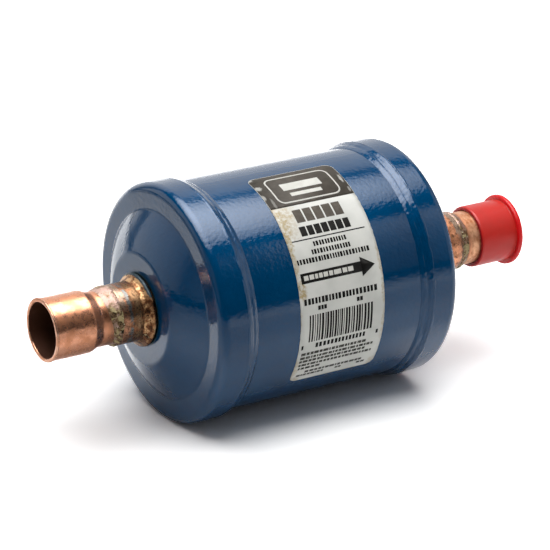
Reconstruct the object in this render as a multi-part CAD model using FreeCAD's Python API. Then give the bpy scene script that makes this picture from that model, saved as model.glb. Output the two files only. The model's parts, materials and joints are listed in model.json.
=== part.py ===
"""Filter drier for a refrigerant liquid line, lying on its side.

Frame: X runs along the flow axis, from the inlet towards the outlet, and Z is up.
The origin is the stop of the inlet's solder socket, on the flow axis.
All sizes are in millimetres.
"""
import FreeCAD
import Part
import math
import os

from FreeCAD import Vector

# Shell and end caps
shell_od = 66.7
shell_wall = 1.25
skirt_fit = 0.05
cap_sheet = 1.35
body_length = 79.0
skirt_length = 8.9
rim_corner_radius = 2.7
dome_radius = 46.0
dome_foot_radius = 27.4
foot_fillet_radius = 1.2
land_radius = 16.0
land_bend_radius = 3.0
weld_leg = 3.5
weld_crown = 0.2

# Collars brazed into the flat lands of the domes
collar_od = 17.3
collar_tail = 3.6
collar_edge_radius = 0.35
braze_gap = 0.04
collar_fillet_width = 2.4
collar_fillet_height = 2.7
collar_fillet_crown = 0.6
inlet_braze_length = 3.2
outlet_braze_length = 2.3
inlet_bare_neck = 2.8
outlet_bare_tube = 4.0
tube_braze_crown = 0.22

# Copper fittings
tube_od = 15.88
tube_wall = 0.92
tube_tail_inset = 3.7
stub_reach = 37.3
socket_bore = 16.0
socket_depth = 12.4
socket_taper = 2.6
taper_bend_radius = 2.2
mouth_inner_radius = 0.2
mouth_outer_radius = 0.4

# Pull-off dust cap on the outlet
dust_cap_fit = 0.15
dust_cap_wall = 1.1
dust_cap_grip = 10.7
dust_cap_end_gap = 0.3
dust_cap_end_wall = 1.4
dust_cap_lip_radius = 0.8
dust_cap_flange_od = 21.1
dust_cap_flange = 1.6
dust_cap_flange_edge = 0.65
dust_cap_recess_od = 14.4
dust_cap_recess = 1.5

# Filter bed inside the shell
bed_fit = 0.1
desiccant_length = 44.0
pad_thickness = 4.0
screen_thickness = 0.4
plate_sheet = 1.0
plate_hole_d = 4.5
plate_hole_pitch = 8.0
plate_hole_rings = 3
spring_plate_rim = 5.0
retainer_height = 9.2
retainer_taper = 1.1
press_bend_radius = 0.8
spring_wire = 2.2
spring_turns = 3.5
spring_seat_gap = 0.05

# Label round the shell, where 0 degrees faces -Y and 90 degrees faces up
label_width = 28.0
label_offset = 0.64
label_bottom_angle = -36.5
label_top_angle = 83.3
label_sheet = 0.12
label_corner_radius = 2.3
label_corner_tolerance = 0.01

# Places that follow from the sizes above
shell_radius = shell_od / 2
shell_bore_radius = shell_radius - shell_wall
band_radius = shell_radius + skirt_fit + cap_sheet
collar_radius = collar_od / 2
tube_radius = tube_od / 2
tube_bore_radius = tube_radius - tube_wall
socket_bore_radius = socket_bore / 2
socket_radius = socket_bore_radius + tube_wall
half_body = body_length / 2
centre_x = stub_reach - socket_depth + half_body
dome_centre_h = -math.sqrt(dome_radius ** 2 - dome_foot_radius ** 2)
land_h = dome_centre_h + math.sqrt(dome_radius ** 2 - land_radius ** 2)
bed_radius = shell_bore_radius - bed_fit

INLET = -1
OUTLET = 1
socket_neck = stub_reach - socket_depth - socket_taper
collar_reach = {
    INLET: socket_neck - inlet_bare_neck - inlet_braze_length,
    OUTLET: stub_reach - dust_cap_grip - outlet_bare_tube - outlet_braze_length,
}
tube_braze_length = {INLET: inlet_braze_length, OUTLET: outlet_braze_length}
FLOW_AXIS = Vector(1, 0, 0)
ORIGIN = Vector(0, 0, 0)


def at(side, h, radius):
    """Point in the XY plane: h outward from the flat rim of that side's cap."""
    return Vector(centre_x + side * (half_body + h), radius, 0)


def turned(edges):
    """Solid of revolution about the flow axis from a closed chain of edges."""
    wire = Part.Wire(Part.__sortEdges__(edges))
    return Part.Face(wire).revolve(ORIGIN, FLOW_AXIS, 360)


def arc(start, middle, end):
    """Arc edge through three points."""
    return Part.Arc(start, middle, end).toShape()


def line(start, end):
    """Straight edge between two points."""
    return Part.LineSegment(start, end).toShape()


def rounded(corners):
    """Closed chain of edges through (point, corner radius) pairs."""
    count = len(corners)
    trimmed = []
    edges = []
    for index, (point, radius) in enumerate(corners):
        to_last = (corners[index - 1][0] - point).normalize()
        to_next = (corners[(index + 1) % count][0] - point).normalize()
        half_angle = to_last.getAngle(to_next) / 2
        if radius == 0:
            trimmed.append((point, point))
            continue
        bisector = (to_last + to_next).normalize()
        centre = point + bisector * (radius / math.sin(half_angle))
        start = point + to_last * (radius / math.tan(half_angle))
        end = point + to_next * (radius / math.tan(half_angle))
        edges.append(arc(start, centre - bisector * radius, end))
        trimmed.append((start, end))
    for index in range(count):
        edges.append(line(trimmed[index - 1][1], trimmed[index][0]))
    return edges


def disc(x_start, thickness):
    """Full disc across the bed, from x_start along the flow."""
    return Part.makeCylinder(bed_radius, thickness, Vector(x_start, 0, 0), FLOW_AXIS)


def cap_skin(side, inset):
    """Edges of one skin of the end cap, from the hub hole out to the skirt's edge."""
    bend = land_bend_radius - inset
    dome = dome_radius - inset
    foot = foot_fillet_radius + inset
    corner = rim_corner_radius - inset
    bend_centre_h = land_h - land_bend_radius
    bend_rise = bend_centre_h - dome_centre_h
    bend_centre_r = math.sqrt((dome_radius - land_bend_radius) ** 2 - bend_rise ** 2)
    bend_angle = math.atan2(bend_centre_r, bend_rise)
    foot_distance = dome_radius + foot_fillet_radius
    foot_centre_r = math.sqrt(foot_distance ** 2 - (foot_fillet_radius - dome_centre_h) ** 2)
    foot_angle = math.atan2(foot_centre_r, foot_fillet_radius - dome_centre_h)
    corner_centre_r = band_radius - rim_corner_radius

    def on_bend(angle):
        return at(side, bend_centre_h + bend * math.cos(angle),
                  bend_centre_r + bend * math.sin(angle))

    def on_dome(angle):
        return at(side, dome_centre_h + dome * math.cos(angle), dome * math.sin(angle))

    def on_foot(angle):
        return at(side, foot_fillet_radius - foot * math.cos(angle),
                  foot_centre_r - foot * math.sin(angle))

    def on_corner(angle):
        return at(side, -rim_corner_radius + corner * math.cos(angle),
                  corner_centre_r + corner * math.sin(angle))

    mid_angle = (bend_angle + foot_angle) / 2
    return [
        line(at(side, land_h - inset, collar_radius), on_bend(0)),
        arc(on_bend(0), on_bend(bend_angle / 2), on_bend(bend_angle)),
        arc(on_dome(bend_angle), on_dome(mid_angle), on_dome(foot_angle)),
        arc(on_foot(foot_angle), on_foot(foot_angle / 2), on_foot(0)),
        line(on_foot(0), on_corner(0)),
        arc(on_corner(0), on_corner(math.pi / 4), on_corner(math.pi / 2)),
        line(on_corner(math.pi / 2), at(side, -skirt_length, band_radius - inset)),
    ]


def end_cap(side):
    """Pressed steel end cap: skirt, flat rim, dome, flat land and a hole for the collar."""
    outer = cap_skin(side, 0)
    inner = cap_skin(side, cap_sheet)
    hub = line(outer[0].firstVertex().Point, inner[0].firstVertex().Point)
    skirt_edge = line(outer[-1].lastVertex().Point, inner[-1].lastVertex().Point)
    return turned(outer + inner + [hub, skirt_edge])


def shell_tube():
    """Steel tube, its ends inside the skirts where the caps' corners begin."""
    length = body_length - 2 * rim_corner_radius
    start = Vector(centre_x - length / 2, 0, 0)
    outer = Part.makeCylinder(shell_radius, length, start, FLOW_AXIS)
    bore = Part.makeCylinder(shell_bore_radius, length, start, FLOW_AXIS)
    return outer.cut(bore)


def seam_weld(side):
    """Fillet weld between a skirt's edge and the shell."""
    top = at(side, -skirt_length, band_radius)
    root = at(side, -skirt_length, shell_radius)
    toe = at(side, -skirt_length - weld_leg, shell_radius)
    slope = (toe - top).normalize()
    outward = Vector(side * slope.y, -side * slope.x, 0)
    if outward.y < 0:
        outward = outward * -1
    crown = (top + toe) * 0.5 + outward * weld_crown
    return turned([line(root, top), arc(top, crown, toe), line(toe, root)])


def collar(side):
    """Plated steel sleeve through the land, which takes the copper tube."""
    bore_radius = tube_radius + braze_gap
    tip = collar_reach[side]
    tail = collar_tail
    return turned(rounded([
        (at(side, tail, bore_radius), 0),
        (at(side, tip, bore_radius), 0),
        (at(side, tip, collar_radius), collar_edge_radius),
        (at(side, tail, collar_radius), 0),
    ]))


def collar_braze(side):
    """Bronze fillet between the land and the collar."""
    root = at(side, land_h, collar_radius)
    foot = at(side, land_h, collar_radius + collar_fillet_width)
    top = at(side, land_h + collar_fillet_height, collar_radius)
    face_middle = (foot + top) * 0.5
    crown = face_middle + (face_middle - root).normalize() * collar_fillet_crown
    return turned([line(root, foot), arc(foot, crown, top), line(top, root)])


def tube_braze(side):
    """Ring of braze alloy on the step from the collar's end to the tube."""
    end = collar_reach[side]
    root = at(side, end, tube_radius)
    top = at(side, end, collar_radius - collar_edge_radius)
    toe = at(side, end + tube_braze_length[side], tube_radius)
    middle = (top + toe) * 0.5 + Vector(0, tube_braze_crown, 0)
    return turned([line(root, top), arc(top, middle, toe), line(toe, root)])


def inlet_fitting():
    """Copper tube with its end expanded to a solder socket."""
    side = INLET
    stop = stub_reach - socket_depth
    neck = socket_neck
    tail = collar_tail + tube_tail_inset
    return turned(rounded([
        (at(side, tail, tube_bore_radius), 0),
        (at(side, neck, tube_bore_radius), taper_bend_radius),
        (at(side, stop, socket_bore_radius), 0),
        (at(side, stub_reach, socket_bore_radius), mouth_inner_radius),
        (at(side, stub_reach, socket_radius), mouth_outer_radius),
        (at(side, stop, socket_radius), taper_bend_radius),
        (at(side, neck, tube_radius), taper_bend_radius),
        (at(side, tail, tube_radius), 0),
    ]))


def outlet_fitting():
    """Plain copper tube stub."""
    side = OUTLET
    tail = collar_tail + tube_tail_inset
    return turned(rounded([
        (at(side, tail, tube_bore_radius), 0),
        (at(side, stub_reach, tube_bore_radius), mouth_inner_radius),
        (at(side, stub_reach, tube_radius), mouth_outer_radius),
        (at(side, tail, tube_radius), 0),
    ]))


def dust_cap():
    """Moulded polyethylene cap pushed over the outlet tube, with a pull flange."""
    side = OUTLET
    bore_radius = tube_radius + dust_cap_fit
    barrel_radius = bore_radius + dust_cap_wall
    flange_radius = dust_cap_flange_od / 2
    recess_radius = dust_cap_recess_od / 2
    mouth = stub_reach - dust_cap_grip
    inner_end = stub_reach + dust_cap_end_gap
    recess_floor = inner_end + dust_cap_end_wall
    end = recess_floor + dust_cap_recess
    return turned(rounded([
        (at(side, inner_end, 0), 0),
        (at(side, inner_end, bore_radius), 0),
        (at(side, mouth, bore_radius), mouth_inner_radius),
        (at(side, mouth, barrel_radius), dust_cap_lip_radius),
        (at(side, end - dust_cap_flange, barrel_radius), mouth_inner_radius),
        (at(side, end - dust_cap_flange, flange_radius), dust_cap_flange_edge),
        (at(side, end, flange_radius), dust_cap_flange_edge),
        (at(side, end, recess_radius), mouth_inner_radius),
        (at(side, recess_floor, recess_radius), 0),
        (at(side, recess_floor, 0), 0),
    ]))


def hole_places():
    """Centres (y, z) of the plate's holes, on rings of a hexagonal pattern."""
    row_height = plate_hole_pitch * math.sqrt(3) / 2
    places = []
    for row in range(-plate_hole_rings, plate_hole_rings + 1):
        count = 2 * plate_hole_rings + 1 - abs(row)
        for index in range(count):
            places.append(((index - (count - 1) / 2) * plate_hole_pitch, row * row_height))
    return places


def perforated(blank, x_start):
    """The blank with the hole pattern punched through its sheet at x_start."""
    holes = [
        Part.makeCylinder(plate_hole_d / 2, plate_sheet, Vector(x_start, y, z), FLOW_AXIS)
        for y, z in hole_places()
    ]
    return blank.cut(Part.makeCompound(holes))


def spring_plate(x_start):
    """Perforated plate on the bed, its rim turned back round the spring."""
    rim_bore = bed_radius - plate_sheet
    x_back = x_start - (spring_plate_rim - plate_sheet)
    x_front = x_start + plate_sheet
    blank = turned(rounded([
        (Vector(x_start, 0, 0), 0),
        (Vector(x_start, rim_bore, 0), press_bend_radius),
        (Vector(x_back, rim_bore, 0), 0),
        (Vector(x_back, bed_radius, 0), 0),
        (Vector(x_front, bed_radius, 0), press_bend_radius + plate_sheet),
        (Vector(x_front, 0, 0), 0),
    ]))
    return perforated(blank, x_start)


def outlet_retainer(x_start):
    """Perforated cup whose tapered rim seats on the flat inside of the outlet cap."""
    x_end = x_start + retainer_height
    seat_radius = bed_radius - retainer_taper
    blank = turned(rounded([
        (Vector(x_start, 0, 0), 0),
        (Vector(x_start, bed_radius, 0), press_bend_radius + plate_sheet),
        (Vector(x_end, seat_radius, 0), 0),
        (Vector(x_end, seat_radius - plate_sheet, 0), 0),
        (Vector(x_start + plate_sheet, bed_radius - plate_sheet, 0), press_bend_radius),
        (Vector(x_start + plate_sheet, 0, 0), 0),
    ]))
    return perforated(blank, x_start)


def inlet_spring(x_start, x_end):
    """Compression spring with ground ends, between the inlet cap and its plate."""
    length = x_end - x_start
    mean_radius = bed_radius - plate_sheet - press_bend_radius - spring_wire / 2
    pitch = length / spring_turns
    helix = Part.makeHelix(pitch, length, mean_radius)
    profile = Part.Circle(Vector(mean_radius, 0, 0), Vector(0, 1, 0), spring_wire / 2)
    sweep = Part.Wire(helix.Edges).makePipeShell([Part.Wire(profile.toShape())], True, True)
    sweep.rotate(ORIGIN, Vector(0, 1, 0), 90)
    sweep.translate(Vector(x_start, 0, 0))
    slab = Part.makeCylinder(shell_bore_radius, length, Vector(x_start, 0, 0), FLOW_AXIS)
    return sweep.common(slab)


def label():
    """Paper label wrapped round the shell, with rounded corners."""
    x_start = centre_x + label_offset - label_width / 2
    flat = Part.makePolygon([
        Vector(x_start, -shell_radius, 0),
        Vector(x_start + label_width, -shell_radius, 0),
        Vector(x_start + label_width, -shell_radius - label_sheet, 0),
        Vector(x_start, -shell_radius - label_sheet, 0),
        Vector(x_start, -shell_radius, 0),
    ])
    section = Part.Face(flat)
    section.rotate(ORIGIN, FLOW_AXIS, -label_top_angle)
    sheet = section.revolve(ORIGIN, FLOW_AXIS, label_top_angle - label_bottom_angle)
    corners = [edge for edge in sheet.Edges if abs(edge.Length - label_sheet) < label_corner_tolerance]
    return sheet.makeFillet(label_corner_radius, corners)


def filter_bed():
    """Pieces of the bed in flow order, stacked back from the outlet cap's inner face."""
    x_seat = centre_x + half_body - cap_sheet
    x_retainer = x_seat - retainer_height
    x_outlet_screen = x_retainer - screen_thickness
    x_outlet_pad = x_outlet_screen - pad_thickness
    x_desiccant = x_outlet_pad - desiccant_length
    x_inlet_pad = x_desiccant - pad_thickness
    x_inlet_screen = x_inlet_pad - screen_thickness
    x_plate = x_inlet_screen - plate_sheet
    x_spring = centre_x - half_body + cap_sheet
    return {
        "inlet_spring": inlet_spring(x_spring + spring_seat_gap, x_plate - spring_seat_gap),
        "spring_plate": spring_plate(x_plate),
        "inlet_screen": disc(x_inlet_screen, screen_thickness),
        "inlet_filter_pad": disc(x_inlet_pad, pad_thickness),
        "desiccant_bed": disc(x_desiccant, desiccant_length),
        "outlet_filter_pad": disc(x_outlet_pad, pad_thickness),
        "outlet_screen": disc(x_outlet_screen, screen_thickness),
        "outlet_retainer": outlet_retainer(x_retainer),
    }


def all_pieces():
    """Every piece of the drier, by node name."""
    pieces = {
        "shell_tube": shell_tube(),
        "label": label(),
        "inlet_fitting": inlet_fitting(),
        "outlet_fitting": outlet_fitting(),
        "dust_cap": dust_cap(),
    }
    for name, side in (("inlet", INLET), ("outlet", OUTLET)):
        pieces[name + "_end_cap"] = end_cap(side)
        pieces[name + "_seam_weld"] = seam_weld(side)
        pieces[name + "_collar"] = collar(side)
        pieces[name + "_collar_braze"] = collar_braze(side)
        pieces[name + "_tube_braze"] = tube_braze(side)
    pieces.update(filter_bed())
    return pieces


os.makedirs("parts", exist_ok=True)
for node, shape in all_pieces().items():
    solid = shape.Solids[0]
    if solid.Volume < 0:
        solid.reverse()
    solid.exportStep("parts/" + node + ".step")
    print(node, "solids", len(shape.Solids), "valid", solid.isValid(), "volume", round(solid.Volume, 1))
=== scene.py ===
"""Finishes a refrigerant filter drier: enamel, copper, braze, paper label and dust cap.

Lengths in the code are millimetres until MM or to_m turns them into the metres of the frame.
Places along the flow are counted outward from a cap's flat rim, or from the body's middle.
"""
from __future__ import annotations

import json
import logging
import math
from collections.abc import Iterable
from dataclasses import dataclass
from enum import Enum
from typing import NamedTuple

import bmesh
import bpy
from mathutils import Matrix, Vector, noise as smooth_noise


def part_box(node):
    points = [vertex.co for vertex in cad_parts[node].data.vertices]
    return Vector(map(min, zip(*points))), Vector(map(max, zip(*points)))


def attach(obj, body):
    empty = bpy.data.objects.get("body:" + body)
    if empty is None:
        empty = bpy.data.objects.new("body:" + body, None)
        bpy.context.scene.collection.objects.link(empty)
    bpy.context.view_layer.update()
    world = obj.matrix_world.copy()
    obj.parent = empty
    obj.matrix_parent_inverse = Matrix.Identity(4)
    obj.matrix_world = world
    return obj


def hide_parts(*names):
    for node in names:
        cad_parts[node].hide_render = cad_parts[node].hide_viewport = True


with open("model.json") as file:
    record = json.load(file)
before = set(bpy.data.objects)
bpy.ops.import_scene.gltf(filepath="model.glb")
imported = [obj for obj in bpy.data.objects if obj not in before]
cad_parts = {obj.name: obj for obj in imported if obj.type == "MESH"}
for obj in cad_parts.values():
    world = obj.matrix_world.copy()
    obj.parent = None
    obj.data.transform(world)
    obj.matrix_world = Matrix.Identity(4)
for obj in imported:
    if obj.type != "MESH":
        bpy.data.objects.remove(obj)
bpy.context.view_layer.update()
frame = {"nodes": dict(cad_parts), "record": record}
LOG = logging.getLogger("drier")
MM = 0.001
SOFT = {"interpolation_type": "SMOOTHSTEP"}

Socket = bpy.types.NodeSocket
Tree = bpy.types.NodeTree
Material = bpy.types.Material
Mesh = bpy.types.Mesh
Outline = tuple[tuple[float, float], ...]
Span = tuple[float, ...]


def to_m(*lengths: float) -> Vector:
    """A vector in metres from lengths in millimetres."""
    return Vector(lengths) * MM


def per_mm(size: float) -> float:
    """Scale of a texture on metre coordinates whose features are about size millimetres."""
    return 1 / (size * MM)


def grain(size: float, detail: float = 2.0, roughness: float = 0.5) -> Span:
    """Scale, detail and roughness of a noise whose features are about size millimetres."""
    return per_mm(size), detail, roughness


def linear(hex_colour: str) -> tuple[float, float, float, float]:
    """Turns an sRGB hex value into a linear colour.

    Args:
        hex_colour: Six hex digits after a hash sign.

    Returns:
        Red, green, blue and an alpha of one, in linear light.
    """
    parts = [int(hex_colour[i:i + 2], 16) / 255 for i in (1, 3, 5)]
    light = [p / 12.92 if p <= 0.04045 else ((p + 0.055) / 1.055) ** 2.4 for p in parts]
    return (*light, 1.0)


def ready(value: object) -> object:
    """A value as a node takes it: a hex colour made linear, anything else as it is."""
    return linear(value) if isinstance(value, str) and value.startswith("#") else value


def add(tree: Tree, kind: str, *values: object, out: str = "", stops: Iterable = (),
        **named: object) -> Socket | None:
    """Adds one node to a tree, with its settings and links.

    Args:
        tree: The shader or geometry tree.
        kind: The node's type name, short of a leading ShaderNode.
        values: Values or sockets for its first inputs, in order. None leaves one alone.
        out: Name of the output to return, if it isn't the first.
        stops: Places and colours of a colour ramp.
        named: Its own properties, in small letters, and further inputs by their names.

    Returns:
        The output, through which the rest of the node is reached.
    """
    node = tree.nodes.new(kind if "Node" in kind else "ShaderNode" + kind)
    for name in filter(str.islower, list(named)):
        setattr(node, name, named.pop(name))
    sockets = [socket for socket in node.inputs if socket.enabled]
    by_name = {socket.name: socket for socket in sockets}
    pairs = [*zip(sockets, values),
             *((by_name[name.replace("_", " ")], value) for name, value in named.items())]
    for socket, value in pairs:
        if isinstance(value, Socket):
            tree.links.new(value, socket)
        elif value is not None:
            socket.default_value = ready(value)
    stops = list(stops)
    elements = node.color_ramp.elements if stops else []
    while len(elements) < len(stops):
        elements.new(1.0)
    for element, (place, colour) in zip(elements, stops):
        element.position = place
        element.color = ready(colour)
    return node.outputs[out] if out else next((s for s in node.outputs if s.enabled), None)


def graph(tree: Tree, value: Socket, corners: Outline) -> Socket:
    """Follows a line of straight stretches.

    Args:
        tree: The shader tree.
        value: Place along the line.
        corners: Place and height of each of its corners.

    Returns:
        The line's height at the value.
    """
    start, end = corners[0][0], corners[-1][0]
    share = add(tree, "MapRange", value, start, end)
    return add(tree, "ValToRGB", share, stops=[
        ((place - start) / (end - start), (height, height, height, 1.0))
        for place, height in corners])


def fresh_tree(owner: Material | bpy.types.World | bpy.types.Light) -> Tree:
    """Switches a node tree on and empties it.

    Args:
        owner: What the tree belongs to.

    Returns:
        The tree.
    """
    owner.use_nodes = True
    owner.node_tree.nodes.clear()
    return owner.node_tree


class Side(Enum):
    """End of the drier, with the sign of its outward direction along the flow."""

    INLET = -1
    OUTLET = 1

    @property
    def word(self) -> str:
        """The end's name as the nodes write it."""
        return self.name.lower()


def box_mm(node: str) -> tuple[Vector, Vector]:
    """Lowest and highest corners of a CAD node, in millimetres."""
    low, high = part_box(node)
    return Vector(low) / MM, Vector(high) / MM


@dataclass(frozen=True)
class ShellAxis:
    """Reference sizes of the shell, read from the frame.

    Attributes:
        centre: Place of the body's middle along the flow.
        half: From there to a cap's flat rim.
        radius: Outer radius of the shell tube.
        band: Outer radius of the caps' skirts.
        collar: Outer radius of the collars.
        tube: Outer radius of the copper tube.
    """

    centre: float
    half: float
    radius: float
    band: float
    collar: float
    tube: float

    @classmethod
    def from_frame(cls, rim_corner: float = 2.7) -> ShellAxis:
        """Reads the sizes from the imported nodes.

        Args:
            rim_corner: Radius of a cap's outer corner, where the shell tube begins.

        Returns:
            The sizes in millimetres.
        """
        low, high = box_mm("shell_tube")
        half = (high.x - low.x) / 2 + rim_corner
        return cls((low.x + high.x) / 2, half, high.z, box_mm("inlet_end_cap")[1].z,
                   box_mm("inlet_collar")[1].z, box_mm("outlet_fitting")[1].z)

    def outward(self, node: str, side: Side) -> tuple[float, float]:
        """Measures a node along the flow.

        Args:
            node: The node's name.
            side: The end it is on.

        Returns:
            Where it starts and ends, counted outward from that end's flat rim.
        """
        low, high = box_mm(node)
        ends = [side.value * (x - self.centre) - self.half for x in (low.x, high.x)]
        return min(ends), max(ends)

    def arcs(self, angles: Span) -> Span:
        """Distances round the shell, in metres, of angles in degrees from the front."""
        return tuple(math.radians(angle) * self.radius * MM for angle in angles)


AXIS = ShellAxis.from_frame()


# Finishes


class Mark(NamedTuple):
    """Frayed oval spot on the shell: where it is, its half sizes, and how strong it is.

    Attributes:
        along: Millimetres from the body's middle.
        angle: Degrees round from the front.
        wide: Half its width.
        tall: Half its height.
        strength: Share of its colour in its middle.
    """

    along: float
    angle: float
    wide: float
    tall: float
    strength: float


@dataclass(frozen=True)
class Place:
    """Shader sockets that say where a point is on the drier, in metres.

    Attributes:
        spot: Object coordinates.
        along: Distance along the flow from the body's middle.
        outward: The same beyond a cap's flat rim, at either end.
        radius: Distance from the flow axis.
        arc: Distance round the shell from the front, at the shell's radius.
    """

    spot: Socket
    along: Socket
    outward: Socket
    radius: Socket
    arc: Socket

    @classmethod
    def on(cls, tree: Tree) -> Place:
        """Adds the nodes that work the sockets out.

        Args:
            tree: The material's tree.

        Returns:
            The sockets.
        """
        spot = add(tree, "TexCoord", out="Object")
        x, y, z = add(tree, "SeparateXYZ", spot).node.outputs
        along = add(tree, "Math", x, AXIS.centre * MM, operation="SUBTRACT")
        beyond = add(tree, "Math", along, operation="ABSOLUTE")
        outward = add(tree, "Math", beyond, AXIS.half * MM, operation="SUBTRACT")
        section = add(tree, "CombineXYZ", None, y, z)
        radius = add(tree, "VectorMath", section, operation="LENGTH")
        front = add(tree, "Math", y, -1.0, operation="MULTIPLY")
        angle = add(tree, "Math", z, front, operation="ARCTAN2")
        arc = add(tree, "Math", angle, AXIS.radius * MM, operation="MULTIPLY")
        return cls(spot, along, outward, radius, arc)

    def shaken(self, tree: Tree, value: Socket, size: float, reach: float) -> Socket:
        """Makes a value uneven, so that an edge on it frays.

        Args:
            tree: The material's tree.
            value: The value, in metres.
            size: Size of the unevenness, in millimetres.
            reach: How far it goes either way, in millimetres.

        Returns:
            The uneven value.
        """
        noise = add(tree, "TexNoise", self.spot, *grain(size, 4.0))
        level = add(tree, "Math", noise, 0.5, operation="SUBTRACT")
        return add(tree, "Math", level, 2 * reach * MM, value, operation="MULTIPLY_ADD")

    def blot(self, tree: Tree, mark: Mark, fray: Socket, bite: float = 1.6,
             edge: Span = (1.15, 0.55)) -> Socket:
        """Works out where a mark covers the shell.

        Args:
            tree: The material's tree.
            mark: The mark.
            fray: Noise that eats into its edge.
            bite: How deep the noise eats.
            edge: Where it starts and is full, by distance from its centre over its half size.

        Returns:
            A value from 0 outside to 1 inside.
        """
        height = math.radians(mark.angle) * AXIS.radius
        across = add(tree, "Math", self.along, per_mm(mark.wide), -mark.along / mark.wide,
                     operation="MULTIPLY_ADD")
        around = add(tree, "Math", self.arc, per_mm(mark.tall), -height / mark.tall,
                     operation="MULTIPLY_ADD")
        off = add(tree, "VectorMath", add(tree, "CombineXYZ", across, around),
                  operation="LENGTH")
        level = add(tree, "Math", off, bite / 2, operation="SUBTRACT")
        eaten = add(tree, "Math", fray, bite, level, operation="MULTIPLY_ADD")
        return add(tree, "MapRange", eaten, *edge, **SOFT)


@dataclass(frozen=True)
class Look:
    """What a finish gives its shader.

    Attributes:
        colour: Base colour.
        relief: Height patterns with their depths in millimetres, lowest first.
        shader: Values and sockets of the Principled shader, by input name.
        coats: Colours laid over the base, each after the share it covers, lowest first.
        bumped: The shader's inputs that take the relief.
    """

    colour: Socket
    relief: Iterable[tuple[Socket, float]]
    shader: dict[str, Socket | float]
    coats: Iterable[tuple[Socket, Socket | str]] = ()
    bumped: tuple[str, ...] = ("Normal",)


@dataclass(frozen=True)
class Finish:
    """A surface finish. Subclasses add their own colours, sizes and nodes.

    Attributes:
        name: The material's name.
    """

    name: str

    def build(self) -> Material:
        """Makes the material with its whole node tree.

        Returns:
            The material.
        """
        material = bpy.data.materials.new(self.name)
        tree = fresh_tree(material)
        look = self.dress(tree, Place.on(tree))
        colour, normal = look.colour, None
        for share, coat in look.coats:
            colour = add(tree, "Mix", share, colour, coat, data_type="RGBA")
        for height, depth in look.relief:
            normal = add(tree, "Bump", Height=height, Distance=depth * MM, Normal=normal)
        normals = dict.fromkeys(look.bumped, normal)
        shader = add(tree, "BsdfPrincipled", colour, **look.shader, **normals)
        add(tree, "OutputMaterial", shader)
        return material

    def dress(self, tree: Tree, place: Place) -> Look:
        """Adds the finish's own nodes.

        Args:
            tree: The material's tree.
            place: Where each point is.

        Returns:
            What the shader gets.
        """
        raise NotImplementedError


@dataclass(frozen=True)
class BlueEnamel(Finish):
    """Stoving enamel, sprayed thick on steel: clear gloss over glowing blue, orange peel, scorch.

    Attributes:
        colour: The paint where it pools.
        thin: The paint between.
        drift: Noise that mixes the two.
        pools: Its values where each of them is clean.
        scorched: Paint heated by the brazing flame.
        soot: Paint charred by it.
        glow: Share of metal in the pigment.
        matt: Roughness of the pigment under the clear skin.
        gloss: Roughness of the clear skin.
        resin: Refractive index of the clear skin.
        peel: Orange peel, with its depth.
        skin: Unevenness of the spray, coarser than real so that it shows, with its depth.
        scorch: Radii where the scorch begins and is full.
        char: The same for the soot.
        hub_fray: Size and reach of the scorch's unevenness.
        dulled: What is left of the clear skin in the scorch.
        crust: Blisters in the scorch, with their depth.
        comb: Squeezes the noise, so that grooves run round the shell.
        groove: Grooves of the weld under the paint, with their depth.
    """

    name: str = "blue_enamel"
    colour: str = "#003E66"
    thin: str = "#00365C"
    drift: Span = grain(14.0, 3.0)
    pools: Span = (0.35, 0.75)
    scorched: str = "#1C3C46"
    soot: str = "#10181A"
    glow: float = 0.22
    matt: float = 0.5
    gloss: float = 0.05
    resin: float = 1.5
    peel: Span = grain(1.15, 2.0, 0.45)
    peel_depth: float = 0.052
    skin: Span = grain(0.45)
    skin_depth: float = 0.008
    scorch: Span = (10.9, 10.4)
    char: Span = (10.4, 9.9)
    hub_fray: Span = (1.8, 0.5)
    dulled: float = 0.35
    crust: Span = grain(0.9, 4.0)
    crust_depth: float = 0.25
    comb: Span = (1.0, 0.1, 0.1)
    groove: Span = grain(0.8)
    groove_depth: float = 0.0

    def dress(self, tree: Tree, place: Place) -> Look:
        """The paint pools a little in the peel, and the brazing flame dulled it by the hubs.

        Args:
            tree: The material's tree.
            place: Where each point is.

        Returns:
            What the shader gets.
        """
        drift = add(tree, "TexNoise", place.spot, *self.drift)
        frayed = place.shaken(tree, place.radius, *self.hub_fray)
        burnt = add(tree, "MapRange", frayed, *to_m(*self.scorch), **SOFT)
        charred = add(tree, "MapRange", frayed, *to_m(*self.char), **SOFT)
        blisters = add(tree, "TexNoise", place.spot, *self.crust)
        combed = add(tree, "Mapping", place.spot, Scale=self.comb)
        return Look(
            colour=add(tree, "ValToRGB", drift, stops=zip(self.pools, (self.colour, self.thin))),
            coats=((burnt, self.scorched), (charred, self.soot)),
            relief=((add(tree, "TexNoise", place.spot, *self.peel), self.peel_depth),
                    (add(tree, "Math", blisters, burnt, operation="MULTIPLY"), self.crust_depth),
                    (add(tree, "TexNoise", combed, *self.groove), self.groove_depth),
                    (add(tree, "TexNoise", place.spot, *self.skin), self.skin_depth)),
            shader={"Metallic": self.glow, "Roughness": self.matt, "Specular IOR Level": 0.0,
                    "Coat Weight": add(tree, "MapRange", burnt, 0.0, 1.0, 1.0, self.dulled),
                    "Coat Roughness": self.gloss, "Coat IOR": self.resin},
            bumped=("Normal", "Coat Normal"))


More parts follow.
